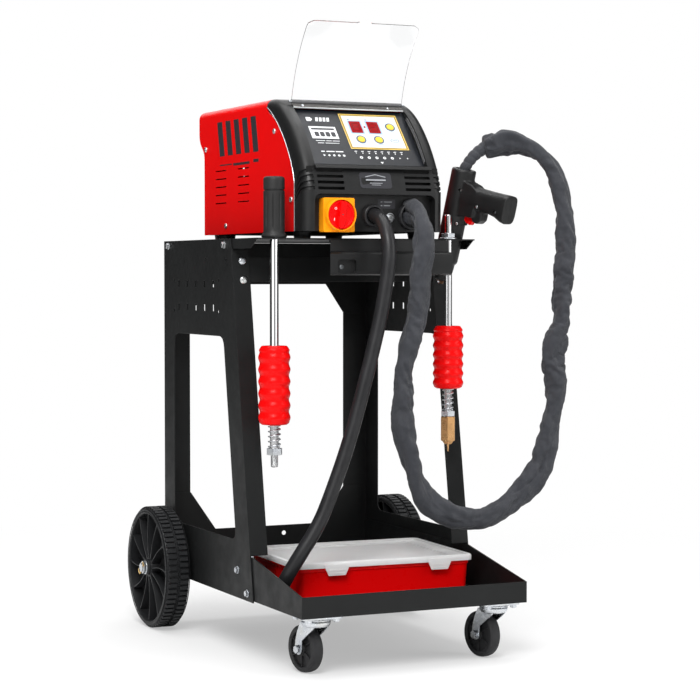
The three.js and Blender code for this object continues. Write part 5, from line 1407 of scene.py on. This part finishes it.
def add_panel_marks():
    """Generic white print left of the display plate and below it, and the dark print on its labels."""
    labels = [rounded_outline([(-79, 96), (-72, 96), (-68.5, 100.3), (-72, 104.6), (-79, 104.6)], 1)]
    labels += [bar_mark(x, x + 4.4, 100.3, 8.6, 2.0) for x in (-64, -57.5, -51, -44.5)]
    labels.append(rectangle(46, 26.5, -57, 70.8))
    lines = [bar_mark(x, x + width, v, height) for x, width, v, height in (
        (-76, 16, 52.5, 1.0), (-58, 9, 52.5, 1.0), (-47, 12, 52.5, 1.0), (-74, 11, 47.5, 1.0),
        (-61, 24, 47.5, 1.0), (-74, 6, 29, 1.9), (-65, 14, 29, 1.9), (-49, 13, 29, 1.9))]
    lines += [circle(2.3, 3 + k, -71 + 8.5 * k, 20.5) for k in range(5)]
    for k in range(8):
        x = -14 + 11.4 * k
        lines += [bar_mark(x - 2.4, x + 2.0, 31, 1.3, 1.2), circle(1.3, 3 + k % 4, x, 27.2)]
    lines += [circle(2.6, 20, -8 + 13.5 * k, 17.5) for k in range(5)]
    lines += [circle(1.6, 3, -8 + 13.5 * k, 17.5) for k in (5, 6)]
    lines.append([(22.5, 8.4), (25, 4.4), (27.5, 8.4)])
    white = [on_panel(mark, *LABEL_INK) for mark in labels] + [on_panel(line, *PANEL_INK) for line in lines]
    panel_piece("panel_marks", white, "white_print")
    fields = [bar_mark(-77, -37, 78.6, 4.0)]
    fields += [rounded_outline(rectangle(7.6, 10.5, x, 67), 2.4) for x in (-70, -60.5, -51, -41.5)]
    dark = [on_panel(field, *LABEL_DARK_INK) for field in fields]
    dark += [on_panel(circle(1.1, 14, -8 + 13.5 * k, 17.5), 0.15, 0.3) for k in range(5)]
    panel_piece("label_marks", dark, "dark_print")


def add_buttons():
    dome = lathe([(0, -3), (6.2, -3), (6.2, 1.1), (5.8, 1.6), (4.6, 1.78), (0, 1.8)])
    cross = joined(*[extruded(bar_mark(-x, x, 0, height), 1.7, 1.92) for x, height in ((2.2, 1.0), (0.5, 4.0))])
    for index, (x, v) in enumerate(BUTTONS, 1):
        node = f"set_button_{index}"
        piece_of(f"soft_{node}", at_panel(dome, x, v), "yellow_button", node)
        piece_of(f"mark_{node}", at_panel(cross, x, v), "gold_print", body=BODY_OF[node], slot=SLOT_OF[node])


def add_switch():
    """Square plate with a collar, and the round knob with its grip bar, numbers and dot."""
    low, high = cad_box("switch_plate")
    x, _, z = cad_middle("switch_plate")
    depth, r = low[1] - cad_box("switch_knob")[0][1], KNOB_DISC
    square = rounded_outline(rectangle(high[0] - low[0], high[2] - low[2], x, z), 3)
    collar = ring_lathe([(r + 0.4, 0), (25.4, 0), (25.1, 9.6), (24.6, 11), (23.6, 11.2), (r + 0.4, 10.6)], 72)
    plate = joined(front_prism(square, low[1] + 0.2, high[1]), facing(collar, "-y", (x, low[1] + 0.3, z)))
    piece_of("switch_face", plate, "orange_plastic", "switch_plate", width=1.0, segments=3)
    body = lathe([(0, 1.9), (r - 1, 1.9), (r, 3), (r, depth - 7.5), (r - 0.8, depth - 5.6), (r - 2.4, depth - 5),
                  (r - 4.2, depth - 5.6), (r - 5, depth - 7.4), (0, depth - 8)], 72)
    bar_width, bar_length = 11.5, 2 * r - 3
    foot = rounded_outline(rectangle(bar_width, bar_length), 5.4, 10)
    grip = loft([[(px, py, depth - 10) for px, py in foot], [(px * 0.84, py * 0.97, depth) for px, py in foot]])
    face = depth - 7.9
    zero, one = shifted(ring(1.3, 2.0, face, face + 0.6, 24), -10, 8.5), rectangle(1.1, 4.2, -10, -8.5)
    numbers = joined(zero, extruded(one, face, face + 0.6))

    def on_knob(shape):
        return facing(rotated(shape, KNOB_TURN, "Z"), "-y", (x, low[1], z))

    piece_of("switch_handle", on_knob(joined(body, grip)), "red_plastic", "switch_knob", width=1.6, segments=4)
    for name, shape, look in (("switch_numbers", numbers, "white_print"),
                              ("switch_dot", disc(1.2, depth - 0.2, depth + 0.04, 20), "dark_print")):
        piece_of(name, on_knob(shape), look, body="switch_knob", slot="red_plastic")


def add_outlets():
    """Rubber rings of the two cable outlets, and the small label between them."""
    for node, bore in (("ground_cable_bush", 12.2), ("gun_cable_bush", 17.0)):
        low, high = cad_box(node)
        x, _, z = cad_middle(node)
        outer, depth = (high[0] - low[0]) / 2, RECESS_BACK - low[1]
        bush = ring_lathe([(bore, -4), (outer, -4), (outer, depth - 2.4), (outer - 0.9, depth - 0.7),
                           (outer - 2.4, depth), (bore + 1.4, depth), (bore, depth - 1.6)], 64)
        piece_of(f"moulded_{node}", facing(bush, "-y", (x, RECESS_BACK, z)), "cable_rubber", node)
    label = front_prism(rounded_outline(rectangle(30, 14.5, 27, 708), 1), RECESS_BACK - 0.35, RECESS_BACK + 0.2)
    piece_of("outlet_label", label, "dark_print", slot="black_plastic")
    marks = [front_prism(rectangle(width, 1.3, x, z), RECESS_BACK - 0.55, RECESS_BACK - 0.2)
             for x, z, width in ((18, 711.2, 3), (29, 711.2, 14), (18, 705.4, 3), (27.5, 705.4, 11))]
    piece_of("outlet_label_marks", joined(*marks), "grey_print", slot="black_plastic")


def add_badge():
    """Plain badge with a generic chevron between the vents. It follows the curve of the bezel."""
    depths, heights = np.array(front_profile()[:60]).T

    def on_front(outline, thickness, proud):
        verts, faces = front_prism(outline, 0, thickness)
        return [(x, float(np.interp(z, heights, depths)) - proud + y, z) for x, y, z in verts], faces

    badge = on_front(rounded_outline(rectangle(55, 25, 1.5, 743.8), 5), 1.2, 0.7)
    piece_of("front_badge", badge, "dark_print", slot="black_plastic", width=0.4)
    chevron = [(-16, 748.6), (1.5, 752.4), (19, 748.6), (19, 749.9), (1.5, 753.8), (-16, 749.9)]
    lines = [rounded_outline(chevron, 0.5, 2), rectangle(34, 2.2, 1.5, 744.6), rectangle(22, 1.0, 1.5, 739.6),
             rectangle(16, 0.9, 1.5, 736.8)]
    marks = joined(*[on_front(line, 0.5, 1.0) for line in lines])
    piece_of("front_badge_marks", marks, "grey_print", slot="black_plastic")


# ------------------------------------------------------------------ welder: visor, case marks

VISOR_HALF = cad_box("visor")[1][0]
VISOR_BULGE, VISOR_SHEET = 9.0, 2.2
HINGE_LEAF_V = 119.5


def visor_surface(free, hinge):
    """Middle sheet of the visor from the hinge to its free edge, bulged outwards, with rounded corners."""
    chord = free - hinge
    out = np.array([chord[1], -chord[0]]) / np.linalg.norm(chord)
    rows = []
    for t in np.linspace(0, 1, 27):
        y, z = hinge + chord * t + out * 4 * VISOR_BULGE * t * (1 - t)
        near_edge = max(0.0, (t - 0.93) / 0.07)
        reach = VISOR_HALF - 10 * (1 - math.sqrt(1 - near_edge ** 2))
        rows.append([(x, y, z) for x in np.linspace(-reach, reach, 29)])
    return [point for row in rows for point in row], grid_faces(len(rows), len(rows[0]))


def add_visor():
    """Clear curved sheet on a barrel round its rod, with a finger tab, and the fixed leaf of its hinge."""
    low, high = cad_box("visor")
    free, hinge = np.array([low[1] + 5, high[2] - 2]), HINGE[1:]
    sheet = new_object("clear_visor_sheet", visor_surface(free, hinge))
    thick = sheet.modifiers.new("thickness", "SOLIDIFY")
    thick.thickness = VISOR_SHEET * MM
    thick.offset = 0
    finish(sheet, "clear_visor", "visor", width=0.5, smooth=40)
    barrel = facing(ring(2.2, 3.2, -VISOR_HALF, VISOR_HALF, 40), "x", HINGE)
    piece_of("visor_barrel", barrel, "rib_print", body="visor", slot="clear_visor")
    tab = extruded(rounded_outline(rectangle(24, 4.4), 1.6), -1.2, 1.2)
    lean = Matrix.Rotation(math.atan2(free[1] - hinge[1], free[0] - hinge[0]), 4, "X")
    tab = placed(tab, Matrix.Translation((0, free[0] + 0.6, free[1])) @ lean)
    piece_of("visor_tab", tab, "clear_visor", body="visor", width=0.5)
    leaf = on_panel(rounded_outline(rectangle(2 * VISOR_HALF, 8.2, 0, HINGE_LEAF_V + 5.0), 1), 5.2, 6.6)
    piece_of("hinge_leaf", leaf, "leaf_print", slot="clear_visor", width=0.4)
    # Thin white strip on the clear hinge leaf: a painted highlight along its lower edge.
    edge = on_panel(rectangle(2 * VISOR_HALF, 1.0, 0, HINGE_LEAF_V + 0.4), 4.6, 6.8)
    piece_of("hinge_leaf_painted_highlight", edge, "white_print", slot="clear_visor", width=0.3)
    heads = [at_panel(cross_screw(2.2, 1.2), x, HINGE_LEAF_V + 4.4, 6.6) for x in (-80, 70)]
    piece_of("hinge_screws", joined(*heads), "zinc")


def add_case_marks():
    """Generic slanted bars on both sides of the case, with short lines under them and near the seam."""
    outlines = [[(y, 796), (y + 22, 796), (y + 34, 854), (y + 12, 854)] for y in range(330, 515, 37)]
    outlines += [rectangle(width, height, y, z) for y, z, width, height in (
        (404, 780, 72, 4), (473, 781, 54, 2.0), (341, 782, 22, 5), (243, 748, 30, 3), (243, 741, 40, 3))]
    shapes = [side_prism(outline, *sorted((side * (CASE_HALF - 0.15), side * (CASE_HALF + 0.18))))
              for side in (-1, 1) for outline in outlines]
    piece_of("case_marks", joined(*shapes), "dark_print", slot="red_paint")


# ------------------------------------------------------------------ box of consumables

TOOLBOX_WIDTH, TOOLBOX_DEPTH = 302.0, 223.0
WASHER_COUNT = 46


def toolbox_skin(*levels):
    """Rounded rectangles of the box, each given as inset, height and corner radius, skinned in order."""
    sections = []
    for inset, z, radius in levels:
        outline = rectangle(TOOLBOX_WIDTH - 2 * inset, TOOLBOX_DEPTH - 2 * inset)
        sections.append([(x, y, z) for x, y in rounded_outline(outline, radius, 8)])
    return loft(sections)


def toolbox_tub(floor, rim):
    """Open tub with three dividers across it and one along it."""
    skin = toolbox_skin((9.0, floor, 10), (8.0, floor + 1.2, 11), (5.6, rim - 7, 12), (5.3, rim - 6, 12),
                        (4.2, rim - 5.4, 12.5), (4.2, rim, 12.5), (6.6, rim, 10.5), (7.6, rim - 6, 10),
                        (10.4, floor + 2.4, 9))
    reach_x, reach_y = TOOLBOX_WIDTH / 2 - 9, TOOLBOX_DEPTH / 2 - 9
    walls = [block(x - 0.8, x + 0.8, -reach_y, reach_y, floor + 1.5, rim - 5) for x in (-72, 0, 72)]
    return joined(skin, *walls, block(-reach_x, reach_x, -0.8, 0.8, floor + 1.5, rim - 5))


def toolbox_lid(low, top):
    """Lid with a raised border round a sunk field, open below."""
    return toolbox_skin((2.6, low, 13), (0, low, 13), (0, top - 3.4, 13), (0.8, top - 1.2, 12.4),
                        (2.4, top - 0.2, 11), (4.6, top, 9.6), (7.4, top - 0.4, 8), (8.8, top - 3, 7),
                        (9.2, top - 3.2, 7), (30, top - 3.3, 5), (30, top - 5.2, 5), (8.0, top - 5.2, 8),
                        (2.9, top - 4.6, 11))


def toolbox_latch(x, low, top):
    front = -TOOLBOX_DEPTH / 2
    plate = rounded_outline([(x - 22, low + 6), (x - 14, low - 11.5), (x + 14, low - 11.5), (x + 22, low + 6)], 2)
    return joined(front_prism(plate, front - 3.2, front - 1.2),
                  front_prism(rounded_outline(rectangle(28, 2.4, x, low - 3), 1, 3), front - 4.0, front - 2.4),
                  front_prism(rounded_outline(rectangle(25, 1.8, x, low - 8), 0.8, 3), front - 3.9, front - 2.4),
                  block(x - 19, x + 19, front - 2.2, front + 1.4, low + 1.5, top - 3.5))


def loose_washers(floor):
    draws = random.Random(7)
    washers = []
    for _ in range(WASHER_COUNT):
        x, y = draws.uniform(-130, 130), draws.uniform(-92, 92)
        size = draws.uniform(4, 8)
        lift = Matrix.Translation((x, y, floor + 4 + draws.uniform(0, 10)))
        tilt = Matrix.Rotation(draws.uniform(0, 0.5), 4, "X")
        washers.append(placed(ring(size * 0.45, size, 0, 1.6, 24), lift @ tilt))
    return joined(*washers)


def add_toolbox():
    yaw_axis = JOINTS["toolbox_lid_hinge"]["axis"]
    yaw = math.atan2(-yaw_axis[1], -yaw_axis[0])
    x, y, _ = cad_middle("toolbox_base")
    place = Matrix.Translation((x, y, 0)) @ Matrix.Rotation(yaw, 4, "Z")
    floor, rim = cad_box("toolbox_base")[0][2], cad_box("toolbox_base")[1][2]
    low, top = rim + 0.4, cad_box("toolbox_lid")[1][2]
    piece_of("toolbox_tub", placed(toolbox_tub(floor, rim), place), "red_plastic", "toolbox_base", width=0.5)
    lid = placed(toolbox_lid(low, top), place)
    piece_of("toolbox_cover", lid, "clear_lid", "toolbox_lid", smooth=35, width=0.3)
    latches = placed(joined(*[toolbox_latch(x, low, top) for x in (-84, 90)]), place)
    piece_of("toolbox_latches", latches, "clear_lid", body="toolbox_lid", width=0.4)
    piece_of("toolbox_washers", placed(loose_washers(floor), place), "zinc")


# ------------------------------------------------------------------ stage, light and camera

WORLD_LIGHT = 0.42
FLOOR_SIZE, FLOOR_Z = 9000, -0.4
REFLECTED_STRIPS = (((-0.86, -0.51, 0.0), 1.7), ((0.50, -0.86, 0.0), 1.2))


def floor_material():
    """Pale matt floor that melts into the white backdrop away from the trolley."""
    look = Look("floor", (0.80, 0.80, 0.80), 0.75, specular_ior_level=0.1)
    look.roughen(0.68, 0.82, 3)
    reach = look.add("ShaderNodeVectorMath", {0: look.coordinates.outputs["Object"]}, operation="LENGTH")
    fade = look.spread(reach.outputs["Value"], 0.42, 1.0, 0.55, 1.6)
    path = look.add("ShaderNodeLightPath")
    open_ray = look.math("MAXIMUM", path.outputs["Is Camera Ray"], path.outputs["Is Transmission Ray"])
    white = look.add("ShaderNodeEmission", {"Strength": 1.0})
    inputs = {0: look.math("MULTIPLY", fade, open_ray), 1: look.shader.outputs[0], 2: white.outputs[0]}
    mix = look.add("ShaderNodeMixShader", inputs)
    look.tree.links.new(mix.outputs[0], look.tree.nodes["Material Output"].inputs["Surface"])
    return look.material


def add_floor():
    corners = [(x, y, FLOOR_Z) for x, y in rectangle(2 * FLOOR_SIZE, 2 * FLOOR_SIZE)]
    floor = new_object("floor", (corners, [[0, 1, 2, 3]]))
    floor.data.materials.append(floor_material())


def add_to_scene(name, data, place):
    thing = bpy.data.objects.new(name, data)
    thing.location = np.array(place) * MM + ORIGIN
    bpy.context.scene.collection.objects.link(thing)
    return thing


def add_light(name, place, target, size, watts):
    lamp = bpy.data.lights.new(name, "AREA")
    lamp.shape = "RECTANGLE"
    lamp.size, lamp.size_y = size[0] * MM, size[1] * MM
    lamp.energy = watts
    direction = Vector(target) - Vector(place)
    add_to_scene(name, lamp, place).rotation_euler = direction.to_track_quat("-Z", "Y").to_euler()


def add_world():
    """White to the camera and in soft light. Reflections see it dim, and darkest behind the trolley."""
    world = bpy.data.worlds.new("studio")
    world.use_nodes = True
    tree = world.node_tree

    def chain(kind, inputs, **settings):
        return add_node(tree, kind, inputs, **settings).outputs[0]

    path = add_node(tree, "ShaderNodeLightPath").outputs
    seen, mirrored, through = [path[f"Is {kind} Ray"] for kind in ("Camera", "Glossy", "Transmission")]
    direction = add_node(tree, "ShaderNodeTexCoord").outputs["Generated"]
    depth = add_node(tree, "ShaderNodeSeparateXYZ", {0: direction}).outputs["Y"]
    shade = chain("ShaderNodeMapRange", {0: depth, 1: -0.6, 2: 0.5, 3: 0.34, 4: 0.03})
    for aim, glow in REFLECTED_STRIPS:
        facing_strip = add_node(tree, "ShaderNodeVectorMath", {0: direction, 1: aim}, operation="DOT_PRODUCT")
        inputs = {0: facing_strip.outputs["Value"], 1: 0.90, 2: 0.975, 3: 0.0, 4: glow}
        strip = chain("ShaderNodeMapRange", inputs)
        shade = chain("ShaderNodeMath", {0: shade, 1: strip}, operation="ADD")
    reflected = chain("ShaderNodeMath", {0: mirrored, 1: through}, operation="SUBTRACT", use_clamp=True)
    open_air = chain("ShaderNodeMath", {0: seen, 1: through}, operation="MAXIMUM")
    from_behind = chain("ShaderNodeMapRange", {0: depth, 1: -0.3, 2: 0.7, 3: 1.15, 4: 0.3})
    light = chain("ShaderNodeMath", {0: from_behind, 1: WORLD_LIGHT}, operation="MULTIPLY")
    soft = chain("ShaderNodeMix", {0: open_air, 2: light, 3: 1.0})
    strength = chain("ShaderNodeMix", {0: reflected, 2: soft, 3: shade})
    tree.links.new(strength, tree.nodes["Background"].inputs["Strength"])
    tree.nodes["Background"].inputs["Color"].default_value = (1, 1, 1, 1)
    bpy.context.scene.world = world


def add_camera(place, yaw, pitch, lens):
    """Camera at a place in trolley millimetres, looking along +Y, turned right by yaw and down by pitch."""
    camera = bpy.data.cameras.new("camera")
    camera.lens = lens
    camera.sensor_width = 36
    camera.clip_start, camera.clip_end = 0.05, 60
    bpy.context.scene.camera = add_to_scene("camera", camera, place)
    bpy.context.scene.camera.rotation_euler = (math.radians(90 - pitch), 0, math.radians(-yaw))


for add_part in (add_fasteners, add_rear_wheels, add_casters, add_left_hammer, add_right_hammer, add_earth_cable,
                 add_mains_cord, add_sleeve, add_gun, add_bezel, add_bezel_inside, add_front_handle,
                 add_display_plate, add_displays, add_display_marks, add_panel_marks, add_buttons, add_switch,
                 add_outlets, add_badge, add_visor, add_case_marks, add_toolbox, add_floor, add_world):
    add_part()
add_light("key", (-1500, -1900, 2600), (0, 250, 450), (1500, 1500), 96)
add_light("right_fill", (2300, -1500, 1700), (0, 250, 450), (1000, 2200), 24)
add_light("top", (0, 300, 3000), (0, 300, 0), (2600, 2600), 72)
add_light("back_rim", (600, 2600, 2000), (0, 250, 500), (2200, 1400), 18)
add_camera((-1393.0, -2738.4, 599.6), 25.07, 2.15, 105.41)
bpy.context.scene.view_settings.view_transform = "Standard"
